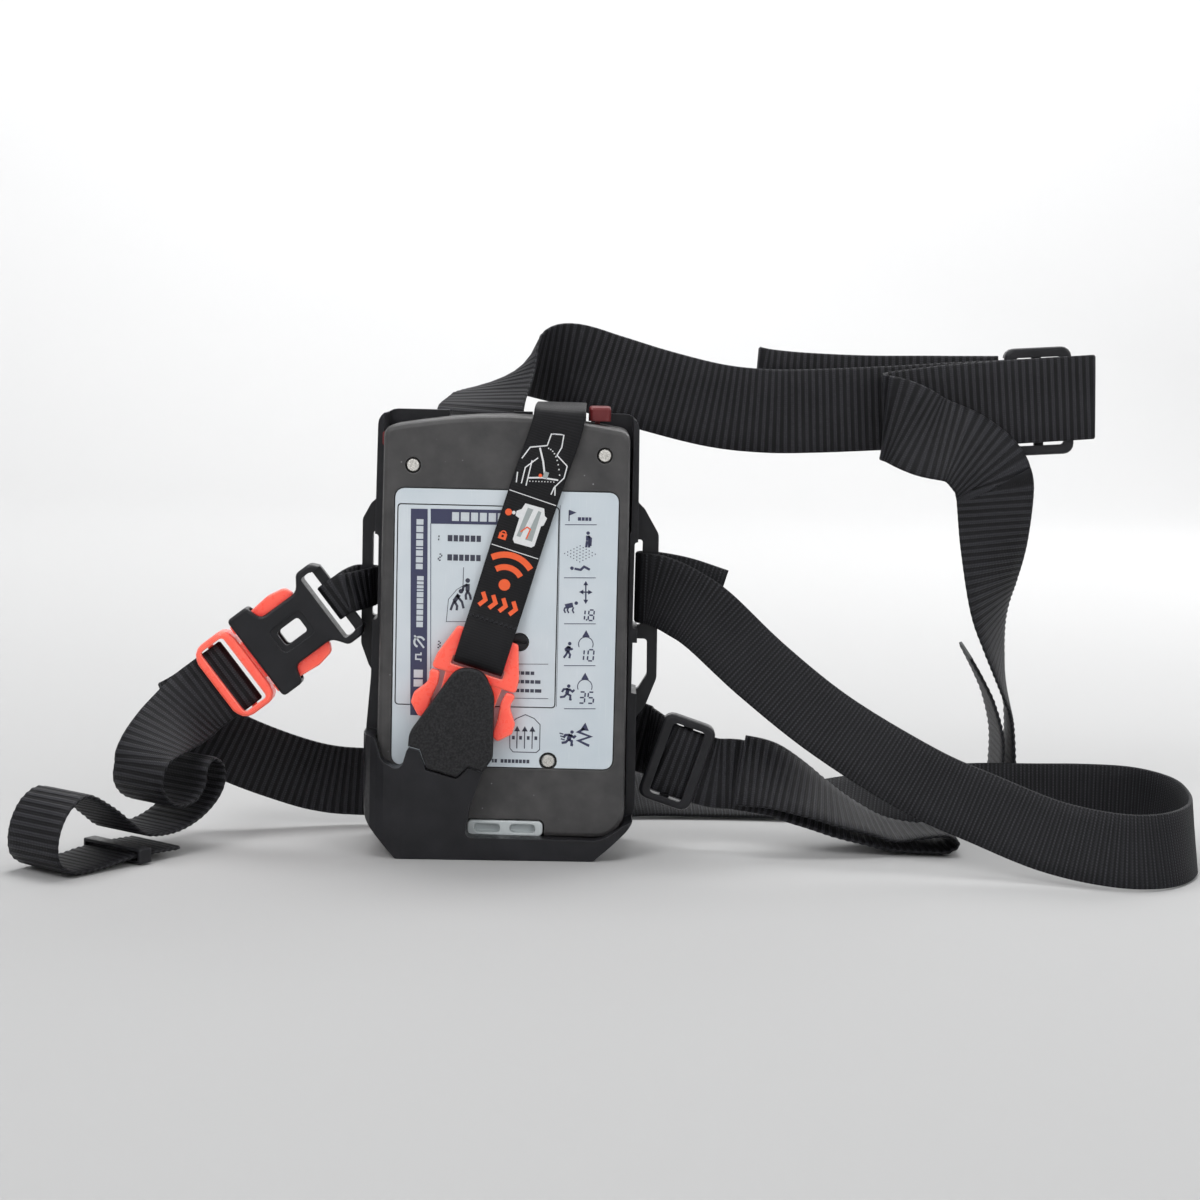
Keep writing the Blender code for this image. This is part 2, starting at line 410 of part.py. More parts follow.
def housing_screw(name, x, z):
    """Pan head with a six-pointed drive, and its shank through both bosses."""
    screw = finish(name, prism(ring(0.0019, x, z, 16), CASE_FRONT + 0.0001, CASE_FRONT + 0.0011,
                               rim=0.0003, segments=1), STEEL)
    shape(screw, [prism(ring(0.0008, x, z, 10), CASE_FRONT + 0.0008, 0.0060)], "UNION")
    lobes = [Vector((x + (0.0009 if k % 2 else 0.0006) * math.cos(math.pi * k / 6),
                     z + (0.0009 if k % 2 else 0.0006) * math.sin(math.pi * k / 6)))
             for k in range(12)]
    shape(screw, [prism(lobes, CASE_FRONT - 0.001, CASE_FRONT + 0.0006)])


def label_and_door():
    x0, x1, z0, z1 = LABEL
    inset = GAP
    label = finish("label_plate", prism(rectangle(x0 + inset, x1 - inset, z0 + inset, z1 - inset, 0.0025),
                                        CASE_FRONT - 0.0001, CASE_FRONT + 0.0004), LABEL_FILM)
    shape(label, [prism(rectangle(*DOOR, radius=0.001), -0.02, 0),
                  prism(ring(0.0025, *SCREWS[2]), -0.02, 0)])
    d0, d1, e0, e1 = (DOOR[0] + GAP, DOOR[1] - GAP, DOOR[2] + GAP, DOOR[3] - GAP)
    door = finish("battery_door", prism(rectangle(d0, d1, e0, e1, 0.0008), CASE_FRONT + 0.0007,
                                        CASE_FRONT + 0.0021), HOUSING)
    face = finish("door_label", prism(rectangle(d0, d1, e0, e1, 0.0008), CASE_FRONT - 0.0001,
                                      CASE_FRONT + 0.0004), LABEL_FILM)
    lock_x, lock_z = 0.0046, 0.0600
    for cut in (door, face):
        shape(cut, [prism(ring(0.0026, lock_x, lock_z, 20), -0.02, 0)])
    lock = finish("battery_lock", prism(ring(0.0023, 0, 0, 20), CASE_FRONT, CASE_FRONT + 0.0034), CRADLE)
    shape(lock, [prism(rectangle(-0.0019, 0.0019, -0.0004, 0.0004), -0.02, CASE_FRONT + 0.0010)])
    lock.location = (lock_x, 0, lock_z)
    gasket = finish("door_seal", prism(rectangle(-0.0318, 0.0166, 0.0396, 0.0997, 0.002),
                                       CASE_FRONT + 0.0024, CASE_FRONT + 0.0032), RUBBER)
    shape(gasket, [prism(rectangle(-0.0278, 0.0126, 0.0436, 0.0957, 0.001), -0.02, 0)])


def inner_parts():
    deep = -0.0048
    for number in range(3):
        x = -0.0185 + number * CELL_PITCH
        can = prism(ring(CELL_RADIUS, x, deep, 14), 0.0468, 0.0905, "z")
        cell = finish("cell_%d" % (number + 1), can, CELL)
        shape(cell, [prism(ring(0.0018, x, deep, 12), 0.0900, 0.0468 + CELL_LENGTH, "z")], "UNION")
        contact_spring("cell_spring_%d" % (number + 1), x, deep)
    for name, low in (("contact_plate_lower", 0.0436), ("contact_plate_upper", 0.0920)):
        finish(name, prism(rectangle(-0.0236, 0.0090, deep - 0.0042, deep + 0.0042, 0.001), low,
                           low + 0.0004, "z"), STEEL)
    board = finish("main_board", prism(rectangle(-0.0300, 0.0300, 0.0150, 0.1140, 0.002), 0.0014, 0.0026),
                   BOARD)
    shape(board, [prism(ring(0.0038, x, z), -0.004, 0.006) for x, z in SCREWS])
    antenna("antenna_long", (0.0235, -0.0062, 0.0640), 0.0840, "z")
    antenna("antenna_cross", (-0.0060, -0.0062, 0.1012), 0.0440, "x")
    coil = finish("antenna_depth_coil", prism(ring(0.0070, -0.0205, 0.0290, 20), -0.0105, -0.0040), COPPER)
    shape(coil, [prism(ring(0.0040, -0.0205, 0.0290, 16), -0.02, 0)])
    finish("loudspeaker", prism(ring(0.0085, -0.0020, 0.0290, 20), -0.0105, -0.0072), STEEL)
    finish("vibration_motor", prism(ring(0.0030, -0.0062, 0.0135, 14), -0.0120, 0.0040, "x"), STEEL)
    finish("lcd_module", prism(rectangle(-0.0200, 0.0200, 0.0570, 0.1030, 0.001), 0.0036, 0.0072), DISPLAY)


def contact_spring(name, x, y):
    """A tapered coil between the lower contact plate and a cell's flat end."""
    turns, per_turn, wire = 2.0, 8, 0.0003
    bm = bmesh.new()
    loops = []
    for i in range(int(turns * per_turn) + 1):
        turn = 2 * math.pi * i / per_turn
        reach = 0.0034 - 0.0012 * i / (turns * per_turn)
        rise = 0.0446 + 0.0014 * i / (turns * per_turn)
        out = Vector((math.cos(turn), math.sin(turn), 0))
        middle = Vector((x, y, rise)) + out * reach
        loops.append([bm.verts.new(middle + out * wire * a + Vector((0, 0, wire * b)))
                      for a, b in ((-1, 0), (0, -1), (1, 0), (0, 1))])
    for one, two in zip(loops, loops[1:]):
        for k in range(4):
            bm.faces.new((one[k], one[(k + 1) % 4], two[(k + 1) % 4], two[k]))
    bm.faces.new(loops[0])
    bm.faces.new(reversed(loops[-1]))
    finish(name, bm, STEEL)


def antenna(name, middle, length, along):
    """A ferrite rod with its winding, a tube around the rod's middle."""
    x, y, z = middle
    flat, centre = ((x, y), z) if along == "z" else ((y, z), x)
    finish(name + "_rod", prism(ring(0.0032, *flat, 14), centre - length / 2, centre + length / 2, along),
           FERRITE)
    coil = finish(name + "_coil", prism(ring(0.0044, *flat, 16), centre - length / 4,
                                        centre + length / 4, along), COPPER)
    shape(coil, [prism(ring(0.0035, *flat, 14), centre - length, centre + length, along)])


def controls():
    finish("lcd_window", prism(rectangle(-0.0210, 0.0210, 0.0560, 0.1040, 0.0017), CASE_BACK - 0.0016,
                               CASE_BACK, rim=0.0003, rims="high"), WINDOW)
    for name, x in (("left_button", -0.0130), ("right_button", 0.0130)):
        button = finish(name, prism(ring(0.0050, 0, 0, 20), -0.0030, 0.0006, rim=0.0005, rims="high"), RED)
        shape(button, [prism(ring(0.0062, 0, 0, 20), -0.0040, -0.0022)], "UNION")
        button.location = (x, CASE_BACK, KEY_HEIGHT)
    switch = finish("mode_switch", prism(rectangle(0.0220, 0.0282, -0.0040, 0.0090, 0.0012), 0.1208, 0.1248,
                                         "z", rim=0.0008, rims="high"), DARK_RED)
    stem = prism(rectangle(0.0238, 0.0252, 0.0027, 0.0053), 0.1158, 0.1220, "z")
    foot = prism(rectangle(0.0206, 0.0252, 0.0012, 0.0068), 0.1153, 0.1164, "z")
    shape(switch, [stem, foot], "UNION")
    pivot(switch, (0.0251, 0.0040, 0.1208))
    lock = finish("switch_lock", prism(rectangle(-0.0342, -0.0312, 0.1131, 0.1169, 0.0006), -0.0107,
                                       -0.0053), DARK_RED)
    pivot(lock, (-0.0327, -0.0080, 0.1150))
    eyelet = finish("lanyard_eyelet", prism(rectangle(-0.0090, 0.0120, 0.0057, 0.0100, 0.0014), -0.0141,
                                            -0.0089, rim=0.0004), EYELET)
    scoops = [prism(rectangle(a, a + 0.0072, 0.0066, 0.0091, 0.0011), -0.0160, -0.0118)
              for a in (-0.0070, 0.0028)]
    shape(eyelet, scoops)


# ---------------------------------------------------------------- cradle
def cradle():
    """Back plate, side rails, wings and the front shell that cups the lower left corner."""
    low_corner = 0.0075
    foot = rounded([(-0.0384, PLATE_OUTER, 0.003), (0.0376, PLATE_OUTER, 0.003),
                    (0.0376, -0.0180, 0.009), (-0.0384, SHELL_FRONT, 0.011)], 7)
    body = finish("cradle_shell", prism(foot, 0, 0.1225, "z"), CRADLE)
    front_view = rounded([(-0.0284, 0, 0.001), (0.0262, 0, 0.001), (0.0376, 0.0100, low_corner),
                          (RAIL_OUTER, 0.0400, 0.02), (0.0362, 0.1225, 0.004), (-0.0362, 0.1225, 0.004),
                          (-RAIL_OUTER, 0.0480, 0.02), (-0.0384, 0.0340, 0.01),
                          (-0.0378, 0.0100, low_corner)])
    shape(body, [prism(front_view, -0.04, 0.03)], "INTERSECT")
    left_wing = rounded([(-0.0355, 0.0990, 0), (-0.0388, 0.0960, 0.003), (-0.0412, 0.0915, 0.003),
                         (-0.0412, 0.0560, 0.004), (-0.0390, 0.0500, 0.004), (-0.0355, 0.0440, 0)])
    right_wing = rounded([(0.0355, 0.0990, 0), (0.0385, 0.0960, 0.003), (0.0426, 0.0890, 0.003),
                          (0.0430, 0.0480, 0.004), (0.0400, 0.0400, 0.004), (0.0355, 0.0340, 0)])
    shape(body, [prism(left_wing, 0.0070, 0.0100), prism(right_wing, 0.0070, 0.0100)], "UNION")
    cavity = [(a, b) for a, b in case_outline(-0.0004)]
    pocket = prism(cavity, -0.0144, PLATE_INNER)
    above = prism(rectangle(-0.0346, 0.0346, 0.0900, 0.1400), -0.0144, PLATE_INNER)
    opening = rounded([(-0.0450, 0.1400, 0), (-0.0450, 0.0343, 0), (-0.0345, 0.0330, 0.002),
                       (-0.0325, 0.0268, 0.003), (-0.0272, 0.0243, 0.002), (-0.0256, 0.0300, 0),
                       (-0.0250, 0.0309, 0), (-0.0222, 0.0301, 0), (-0.0202, 0.0248, 0),
                       (-0.0118, 0.0225, 0), (-0.0086, 0.0256, 0), (-0.0047, 0.0243, 0),
                       (-0.0080, 0.0149, 0.006), (-0.0093, 0.0062, 0.0015), (0.0282, 0.0058, 0.008),
                       (0.0345, 0.0098, 0.003), (0.0450, 0.0125, 0), (0.0450, 0.1400, 0)])
    window = prism(opening, -0.04, RAIL_FRONT)
    clip_pocket = prism(rounded([(-0.0330, 0.0600, 0), (-0.0300, 0.0300, 0.003), (-0.0200, 0.0228, 0.003),
                                 (-0.0020, 0.0228, 0), (-0.0020, 0.0600, 0)]), -0.0188, -0.0140)
    grips = [prism(rectangle(-0.0176, 0.0006, 0.1140, 0.1300, 0.002), 0.0100, 0.0200),
             prism(rectangle(-0.0130, 0.0130, 0.0500, 0.0900, 0.008), 0.0100, 0.0200),
             prism(rectangle(0.0060, 0.0226, 0.1160, 0.1300, 0.002), 0.0100, 0.0200)]
    slots = [prism(rectangle(-0.0382, -0.0357, 0.0640, 0.0880, 0.0008), -0.01, 0.03),
             prism(rectangle(0.0357, 0.0381, 0.0630, 0.0874, 0.0008), -0.01, 0.03),
             prism(rounded([(0.0358, 0.0592, 0), (0.0400, 0.0592, 0.001), (0.0402, 0.0490, 0.002),
                            (0.0376, 0.0446, 0.001), (0.0358, 0.0450, 0)]), -0.01, 0.03)]
    shape(body, [pocket, above, window, clip_pocket] + grips + slots)

    seam = [(-0.0252, 0.0314), (-0.0220, 0.0306), (-0.0200, 0.0254), (-0.0118, 0.0230),
            (-0.0087, 0.0260), (-0.0046, 0.0247)]
    sides = [(-0.0019, 0.0286, 0.003), (-0.0018, 0.0460, 0.008), (-0.0050, 0.0530, 0.005),
             (-0.0122, 0.0535, 0.005), (-0.0249, 0.0352, 0.006)]
    tongue = finish("latch_tongue", prism(rounded([(a, b, 0) for a, b in seam] + sides), -0.0212, -0.0192,
                                          rim=0.0007), TONGUE)
    pivot(tongue, (-0.0120, -0.0190, 0.0226))


# ---------------------------------------------------------------- retainer clip
def clip():
    """The coral clip on the retainer strap, in its own frame: p across, q up along the strap."""
    frame = basis(CLIP_ORIGIN, CLIP_UP.cross(Vector((0, 1, 0))) * -1, CLIP_UP)

    def plate(corners, low, high, rim=0.0004):
        return prism(rounded(corners, 3), low, high, frame=frame, rim=rim, rims="both")

    body = finish("retainer_clip", plate([(-0.0087, 0.0085, 0.001), (0.0087, 0.0085, 0.001),
                                          (0.0118, -0.0006, 0.004), (0.0122, -0.0047, 0.001),
                                          (-0.0122, -0.0047, 0.001), (-0.0118, -0.0006, 0.004)],
                                         -0.0006, 0.0006), RED)
    slot = plate([(-0.0074, 0.0004, 0.0005), (0.0074, 0.0004, 0.0005), (0.0074, -0.0022, 0.0005),
                  (-0.0074, -0.0022, 0.0005)], -0.003, 0.003, 0)
    prong = plate([(-0.0050, -0.0030, 0), (0.0050, -0.0030, 0), (0.0040, -0.0180, 0.002),
                   (-0.0040, -0.0180, 0.002)], -0.0006, 0.0010)
    hooks = [plate([(side * a, b, 0) for a, b in ((0.0052, -0.0040), (0.0082, -0.0040), (0.0074, -0.0150),
                                                  (0.0060, -0.0150))], -0.0004, 0.0008, 0)
             for side in (-1, 1)]
    shape(body, [slot])
    shape(body, [prong] + hooks, "UNION")
    for name, side in (("clip_arm_left", -1), ("clip_arm_right", 1)):
        corners = [(0.0096, -0.0051, 0.0008), (0.0124, -0.0051, 0.0008), (0.0116, -0.0086, 0.003),
                   (0.0146, -0.0128, 0.0015), (0.0146, -0.0156, 0.001), (0.0112, -0.0190, 0.001),
                   (0.0096, -0.0176, 0.0006), (0.0096, -0.0130, 0.001), (0.0090, -0.0084, 0.002)]
        corners = [(side * a, b, r) for a, b, r in corners]
        arm = finish(name, plate(corners, -0.0014, 0.0012), RED)
        pivot(arm, frame @ Vector((side * 0.0104, 0, -0.0040)))


# ---------------------------------------------------------------- side-release buckle
def buckle():
    """Frame: X runs from the wing towards the belt, Z across the webbing, Y away from the label."""
    frame = basis(BUCKLE_ORIGIN, BUCKLE_OUT, Vector((0.613, 0, -0.79)))

    def plate(corners, low, high, rim=0.0005):
        return prism(rounded(corners, 3), low, high, frame=frame, rim=rim, rims="both")

    def mirrored(half):
        return half + [(a, -b, r) for a, b, r in reversed(half)]

    female = finish("buckle_female", plate(mirrored([
        (-0.0030, -0.0100, 0.0015), (-0.0010, -0.0124, 0.002), (0.0036, -0.0124, 0.002),
        (0.0066, -0.0082, 0.003), (0.0190, -0.0082, 0.002), (0.0206, -0.0132, 0.0012),
        (0.0272, -0.0132, 0.0012)]), -0.0034, 0.0034, 0.0007), CRADLE)
    bars = [plate([(-0.0002, -0.0104, 0.0008), (0.0034, -0.0104, 0.0008), (0.0034, 0.0104, 0.0008),
                   (-0.0002, 0.0104, 0.0008)], -0.01, 0.01, 0),
            plate([(0.0104, -0.0024, 0.001), (0.0180, -0.0024, 0.001), (0.0180, 0.0024, 0.001),
                   (0.0104, 0.0024, 0.001)], -0.01, 0.01, 0),
            plate([(0.0088, -0.0068, 0), (0.0300, -0.0068, 0), (0.0300, 0.0068, 0), (0.0088, 0.0068, 0)],
                  -0.0019, 0.0019, 0),
            plate([(0.0074, -0.0140, 0), (0.0198, -0.0140, 0), (0.0198, 0.0140, 0), (0.0074, 0.0140, 0)],
                  -0.0020, 0.0020, 0),
            plate([(0.0086, -0.0040, 0.0015), (0.0196, -0.0040, 0.0015), (0.0196, 0.0040, 0.0015),
                   (0.0086, 0.0040, 0.0015)], -0.0060, -0.0028, 0),
            plate([(0.0184, -0.0123, 0), (0.0310, -0.0123, 0), (0.0310, 0.0123, 0), (0.0184, 0.0123, 0)],
                  -0.0021, 0.0021, 0),
            plate([(-0.0060, -0.0101, 0), (0.0012, -0.0101, 0), (0.0012, 0.0101, 0), (-0.0060, 0.0101, 0)],
                  -0.01, -0.0012, 0),
            plate([(-0.0060, -0.0101, 0), (0.0012, -0.0101, 0), (0.0012, 0.0101, 0), (-0.0060, 0.0101, 0)],
                  0.0012, 0.01, 0)]
    shape(female, bars)

    male = finish("buckle_male", plate(mirrored([
        (0.0284, -0.0080, 0.001), (0.0294, -0.0122, 0.003), (0.0400, -0.0122, 0.004),
        (0.0413, -0.0080, 0.002)]), -0.0026, 0.0046, 0.0009), RED)
    web_space = [(0.0310, -0.0104, 0.001), (0.0388, -0.0104, 0.001), (0.0388, 0.0104, 0.001),
                 (0.0310, 0.0104, 0.001)]
    behind = [(0.0311, -0.0106, 0), (0.0500, -0.0106, 0), (0.0500, 0.0106, 0), (0.0311, 0.0106, 0)]
    prong = [(0.0215, -0.0060, 0.001), (0.0290, -0.0060, 0), (0.0290, 0.0060, 0), (0.0215, 0.0060, 0.001)]
    shape(male, [plate(web_space, -0.01, 0.01, 0), plate(behind, -0.0013, 0.01, 0)])
    bar = plate([(0.0350, -0.0110, 0), (0.0367, -0.0110, 0), (0.0367, 0.0110, 0), (0.0350, 0.0110, 0)],
                0.0006, 0.0014, 0)
    shape(male, [bar, plate(prong, -0.0014, 0.0014, 0.0003)], "UNION")
    for name, side in (("buckle_arm_upper", -1), ("buckle_arm_lower", 1)):
        corners = [(0.0279, 0.0088, 0), (0.0279, 0.0112, 0), (0.0200, 0.0115, 0.004), (0.0140, 0.0121, 0.004),
                   (0.0090, 0.0112, 0.002), (0.0079, 0.0088, 0.001), (0.0084, 0.0077, 0.0006),
                   (0.0200, 0.0080, 0.003)]
        corners = [(a, side * b, r) for a, b, r in corners]
        arm = finish(name, plate(corners, -0.0016, 0.0016, 0.0004), RED)
        pivot(arm, frame @ Vector((0.0276, 0, side * 0.0100)))


# ---------------------------------------------------------------- sliders
def slider(name, frame, half_length, half_width, slot_half, finish_material):
    """A three-bar slide: the webbing runs flat behind the outer bars and over the middle bar."""
    outer = [(-half_length, -half_width, 0.003), (half_length, -half_width, 0.003),
             (half_length, half_width, 0.003), (-half_length, half_width, 0.003)]
    body = finish(name, prism(rounded(outer, 4), -0.0024, 0.0026, frame=frame, rim=0.0009, rims="both"),
                  finish_material)
    reach = half_length - 0.0030
    space = rectangle(-reach, reach, -slot_half, slot_half, 0.0012)
    under = rectangle(-half_length - 0.01, half_length + 0.01, -slot_half - 0.0002, slot_half + 0.0002)
    shape(body, [prism(space, -0.01, 0.01, frame=frame), prism(under, -0.0010, 0.01, frame=frame)])
    shape(body, [prism(rectangle(-0.0014, 0.0014, -slot_half - 0.001, slot_half + 0.001), 0.0010, 0.0023,
                       frame=frame)], "UNION")
    pivot(body, frame.translation)


def sliders():
    side = basis(SLIDER_ORIGIN, SLIDER_ALONG, Vector((0.312, 0, 0.95)))
    slider("side_slider", side, 0.0078, 0.0128, 0.0106, CRADLE)
    glide = basis(GLIDE_ORIGIN, Vector((1, 0, 0.072)), Vector((-0.05, 0, 1)))
    slider("shoulder_tri_glide", glide, 0.0100, 0.0160, 0.0131, CRADLE)
    keeper = basis(Vector((-0.1030, -0.0286, 0.0024)), Vector((0.60, 0.80, 0.01)),
                   Vector((-0.80, 0.60, 0)))
    band = finish("tail_keeper", prism(rectangle(-0.0022, 0.0022, -0.0116, 0.0116, 0.0008), -0.0020, 0.0020,
                                       frame=keeper, rim=0.0004, rims="both"), CRADLE)
    shape(band, [prism(rectangle(-0.01, 0.01, -0.0105, 0.0105), -0.0012, 0.0012, frame=keeper)])


straps()
housings()
label_and_door()
inner_parts()
controls()
cradle()
clip()
buckle()
sliders()
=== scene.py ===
"""Looks for the avalanche transceiver in its harness cradle: webbing, prints and materials.

Metres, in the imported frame: +Z up, the label side faces -Y. The CAD pieces stay as they are and
take procedural materials. The straps are rebuilt as ribbed woven webbing along the same routes.
"""
import math

import bmesh
import bpy
from mathutils import Matrix, Vector


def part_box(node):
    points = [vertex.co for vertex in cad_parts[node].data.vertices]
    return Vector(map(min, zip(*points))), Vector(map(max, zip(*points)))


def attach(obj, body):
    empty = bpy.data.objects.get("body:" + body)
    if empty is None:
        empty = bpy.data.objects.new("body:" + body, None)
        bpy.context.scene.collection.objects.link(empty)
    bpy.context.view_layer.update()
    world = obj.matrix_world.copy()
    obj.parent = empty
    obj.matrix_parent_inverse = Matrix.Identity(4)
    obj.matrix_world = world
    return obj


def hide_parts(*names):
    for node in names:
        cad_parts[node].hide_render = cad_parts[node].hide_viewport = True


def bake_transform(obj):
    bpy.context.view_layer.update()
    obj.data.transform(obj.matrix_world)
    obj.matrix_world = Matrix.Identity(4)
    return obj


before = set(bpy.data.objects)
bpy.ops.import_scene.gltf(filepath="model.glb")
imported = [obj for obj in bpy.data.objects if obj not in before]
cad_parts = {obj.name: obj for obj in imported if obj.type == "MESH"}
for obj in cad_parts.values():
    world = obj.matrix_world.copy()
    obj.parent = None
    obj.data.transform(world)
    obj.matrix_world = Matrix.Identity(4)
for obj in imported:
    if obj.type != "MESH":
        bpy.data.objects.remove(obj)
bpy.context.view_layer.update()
ROOT, CLIP, PLUG = "cradle_and_unit", "clip", "buckle_plug"

# ---------------------------------------------------------------- driving dimensions
WIDE, NARROW = 0.025, 0.020            # webbing widths
WEB = 0.0013                           # webbing thickness
RETAINER_WIDTH, RETAINER_WEB = 0.0140, 0.0009
LOOP_WIDTH = 0.0110
RIB, ELASTIC_RIB = 0.0021, 0.0012      # pitch of the ribs across the webbing and the elastic
LABEL_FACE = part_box("label_plate")[0][1]
PRINT = 0.00004                        # thickness of a printed layer
STEP = 0.0004                          # length of one modelled step along a strap
WEB_RELIEF, ELASTIC_RELIEF, RETAINER_RELIEF = 0.42, 0.12, 0.10   # share of thickness lost between ribs
RETAINER_RIB = 0.00072
STITCH = 0.00022                       # thickness of the retainer's stitches
RETAINER_FRONT = slice(7, 14)          # stations of RETAINER_ROUTE that lie over the label
MM = 0.001


# ---------------------------------------------------------------- strap routes
# Stations are x, y, z of the middle of the strap, then the direction across it.
ELASTIC_ROUTE = (
    (0.0600, 0.0118, 0.0692, 0.30, 0, 0.95), (0.0500, 0.0126, 0.0722, 0.20, 0, 0.98),
    (0.0420, 0.0123, 0.0736, 0, 0, 1), (0.0382, 0.0119, 0.0738, 0, 0, 1),
    (0.0369, 0.0102, 0.0738, 0, 0, 1), (0.0369, 0.0070, 0.0738, 0, 0, 1),
    (0.0382, 0.0050, 0.0738, 0, 0, 1), (0.0412, 0.0044, 0.0736, 0, 0, 1),
    (0.0450, 0.0040, 0.0724, 0.20, 0, 0.98), (0.0500, 0.0034, 0.0700, 0.30, 0.10, 0.95),
    (0.0574, 0.0020, 0.0653, 0.30, 0.25, 0.92), (0.0726, -0.0020, 0.0520, 0.55, 0.34, 0.76),
    (0.0919, -0.0080, 0.0378, 0.57, 0.36, 0.74), (0.1160, -0.0160, 0.0245, 0.50, 0.26, 0.82),
    (0.1331, -0.0220, 0.0180, 0.38, 0.28, 0.88), (0.1504, -0.0290, 0.0124, 0.24, 0.32, 0.91),
    (0.1668, -0.0355, 0.0104, 0.12, 0.32, 0.94), (0.1810, -0.0320, 0.0100, 0, 0.30, 0.95),
    (0.1915, -0.0170, 0.0102, -0.10, 0.15, 0.97), (0.1945, 0.0050, 0.0106, 0, 0, 1),
    (0.1925, 0.0220, 0.0108, 0.10, 0, 0.99), (0.1855, 0.0340, 0.0110, 0, 0, 1),
    (0.1720, 0.0372, 0.0110, 0, 0, 1), (0.1560, 0.0372, 0.0106, 0, 0.10, 0.99),
    (0.1400, 0.0390, 0.0101, 0, 0.35, 0.93), (0.1200, 0.0440, 0.0086, 0, 0.68, 0.73),
    (0.1000, 0.0500, 0.0063, 0, 0.88, 0.47), (0.0800, 0.0530, 0.0036, 0, 0.97, 0.24),
    (0.0600, 0.0530, 0.0036, 0, 0.97, 0.24), (0.0400, 0.0500, 0.0064, 0, 0.86, 0.50),
    (0.0200, 0.0420, 0.0099, 0, 0.50, 0.86), (0.0000, 0.0350, 0.0118, 0, 0.10, 0.99),
    (-0.0200, 0.0310, 0.0124, 0, 0, 1))
BELT_ROUTE = (
    (0.0050, 0.0318, 0.0122, 0, 0.10, 0.99), (-0.0180, 0.0286, 0.0124, 0, 0, 1),
    (-0.0417, 0.0252, 0.0126, 0, 0, 1), (-0.0533, 0.0220, 0.0140, 0.10, 0, 0.99),
    (-0.0642, 0.0185, 0.0175, 0.30, 0, 0.95), (-0.0769, 0.0160, 0.0226, 0.30, 0.05, 0.94),
    (-0.0880, 0.0160, 0.0280, 0.10, 0.10, 0.98), (-0.0934, 0.0148, 0.0306, -0.10, 0.20, 0.97),
    (-0.0958, 0.0112, 0.0326, -0.25, 0.20, 0.94),
    (-0.0945, 0.0066, 0.0340, -0.42, 0.12, 0.90), (-0.0918, 0.0038, 0.0356, -0.56, 0.05, 0.83),
    (-0.0896, 0.0028, 0.0368, -0.613, 0, 0.79))
WRAP_ROUTE = (
    (-0.0877, 0.0022, 0.0382, -0.613, 0, 0.79), (-0.0822, 0.0017, 0.0424, -0.613, 0, 0.79),
    (-0.0774, 0.0016, 0.0461, -0.613, 0, 0.79), (-0.0755, 0.0014, 0.0476, -0.613, 0, 0.79),
    (-0.0746, 0.0001, 0.0483, -0.613, 0, 0.79), (-0.0755, -0.0012, 0.0476, -0.613, 0, 0.79),
    (-0.0774, -0.0014, 0.0461, -0.613, 0, 0.79), (-0.0820, -0.0014, 0.0426, -0.613, 0, 0.79),
    (-0.0858, -0.0030, 0.0396, -0.66, 0.10, 0.74), (-0.0892, -0.0070, 0.0362, -0.72, 0.25, 0.64),
    (-0.0930, -0.0130, 0.0325, -0.78, 0.42, 0.46), (-0.0960, -0.0182, 0.0291, -0.80, 0.54, 0.24))
TAIL_ROUTE = (
    (-0.0963, -0.0187, 0.0286, -0.80, 0.54, 0.23), (-0.0980, -0.0219, 0.0250, -0.80, 0.60, 0.06),
    (-0.0986, -0.0227, 0.0200, -0.80, 0.60, 0), (-0.0971, -0.0207, 0.0158, -0.80, 0.60, 0),
    (-0.0942, -0.0169, 0.0137, -0.80, 0.60, 0), (-0.0911, -0.0128, 0.0147, -0.80, 0.60, 0),
    (-0.0892, -0.0102, 0.0185, -0.80, 0.60, 0), (-0.0887, -0.0096, 0.0228, -0.80, 0.60, 0),
    (-0.0871, -0.0075, 0.0252, -0.80, 0.60, 0), (-0.0851, -0.0048, 0.0230, -0.80, 0.60, 0),
    (-0.0847, -0.0043, 0.0190, -0.80, 0.60, 0), (-0.0860, -0.0060, 0.0146, -0.80, 0.60, 0),
    (-0.0891, -0.0101, 0.0105, -0.80, 0.60, 0), (-0.0931, -0.0154, 0.0078, -0.80, 0.60, 0),
    (-0.0975, -0.0212, 0.0069, -0.80, 0.60, 0), (-0.1020, -0.0273, 0.0080, -0.80, 0.60, 0),
    (-0.1052, -0.0315, 0.0117, -0.80, 0.60, 0), (-0.1092, -0.0368, 0.0167, -0.80, 0.60, 0),
    (-0.1139, -0.0430, 0.0208, -0.80, 0.60, 0), (-0.1173, -0.0476, 0.0189, -0.80, 0.60, 0),
    (-0.1195, -0.0505, 0.0141, -0.80, 0.60, 0), (-0.1203, -0.0516, 0.0087, -0.80, 0.60, 0),
    (-0.1197, -0.0508, 0.0042, -0.80, 0.60, 0), (-0.1171, -0.0473, 0.0014, -0.80, 0.60, 0),
    (-0.1137, -0.0428, 0.0010, -0.80, 0.60, 0), (-0.1098, -0.0376, 0.0014, -0.80, 0.60, 0),
    (-0.1060, -0.0326, 0.0021, -0.80, 0.60, 0), (-0.1020, -0.0273, 0.0024, -0.80, 0.60, 0),
    (-0.0985, -0.0226, 0.0024, -0.80, 0.60, 0), (-0.0948, -0.0177, 0.0022, -0.80, 0.60, 0))
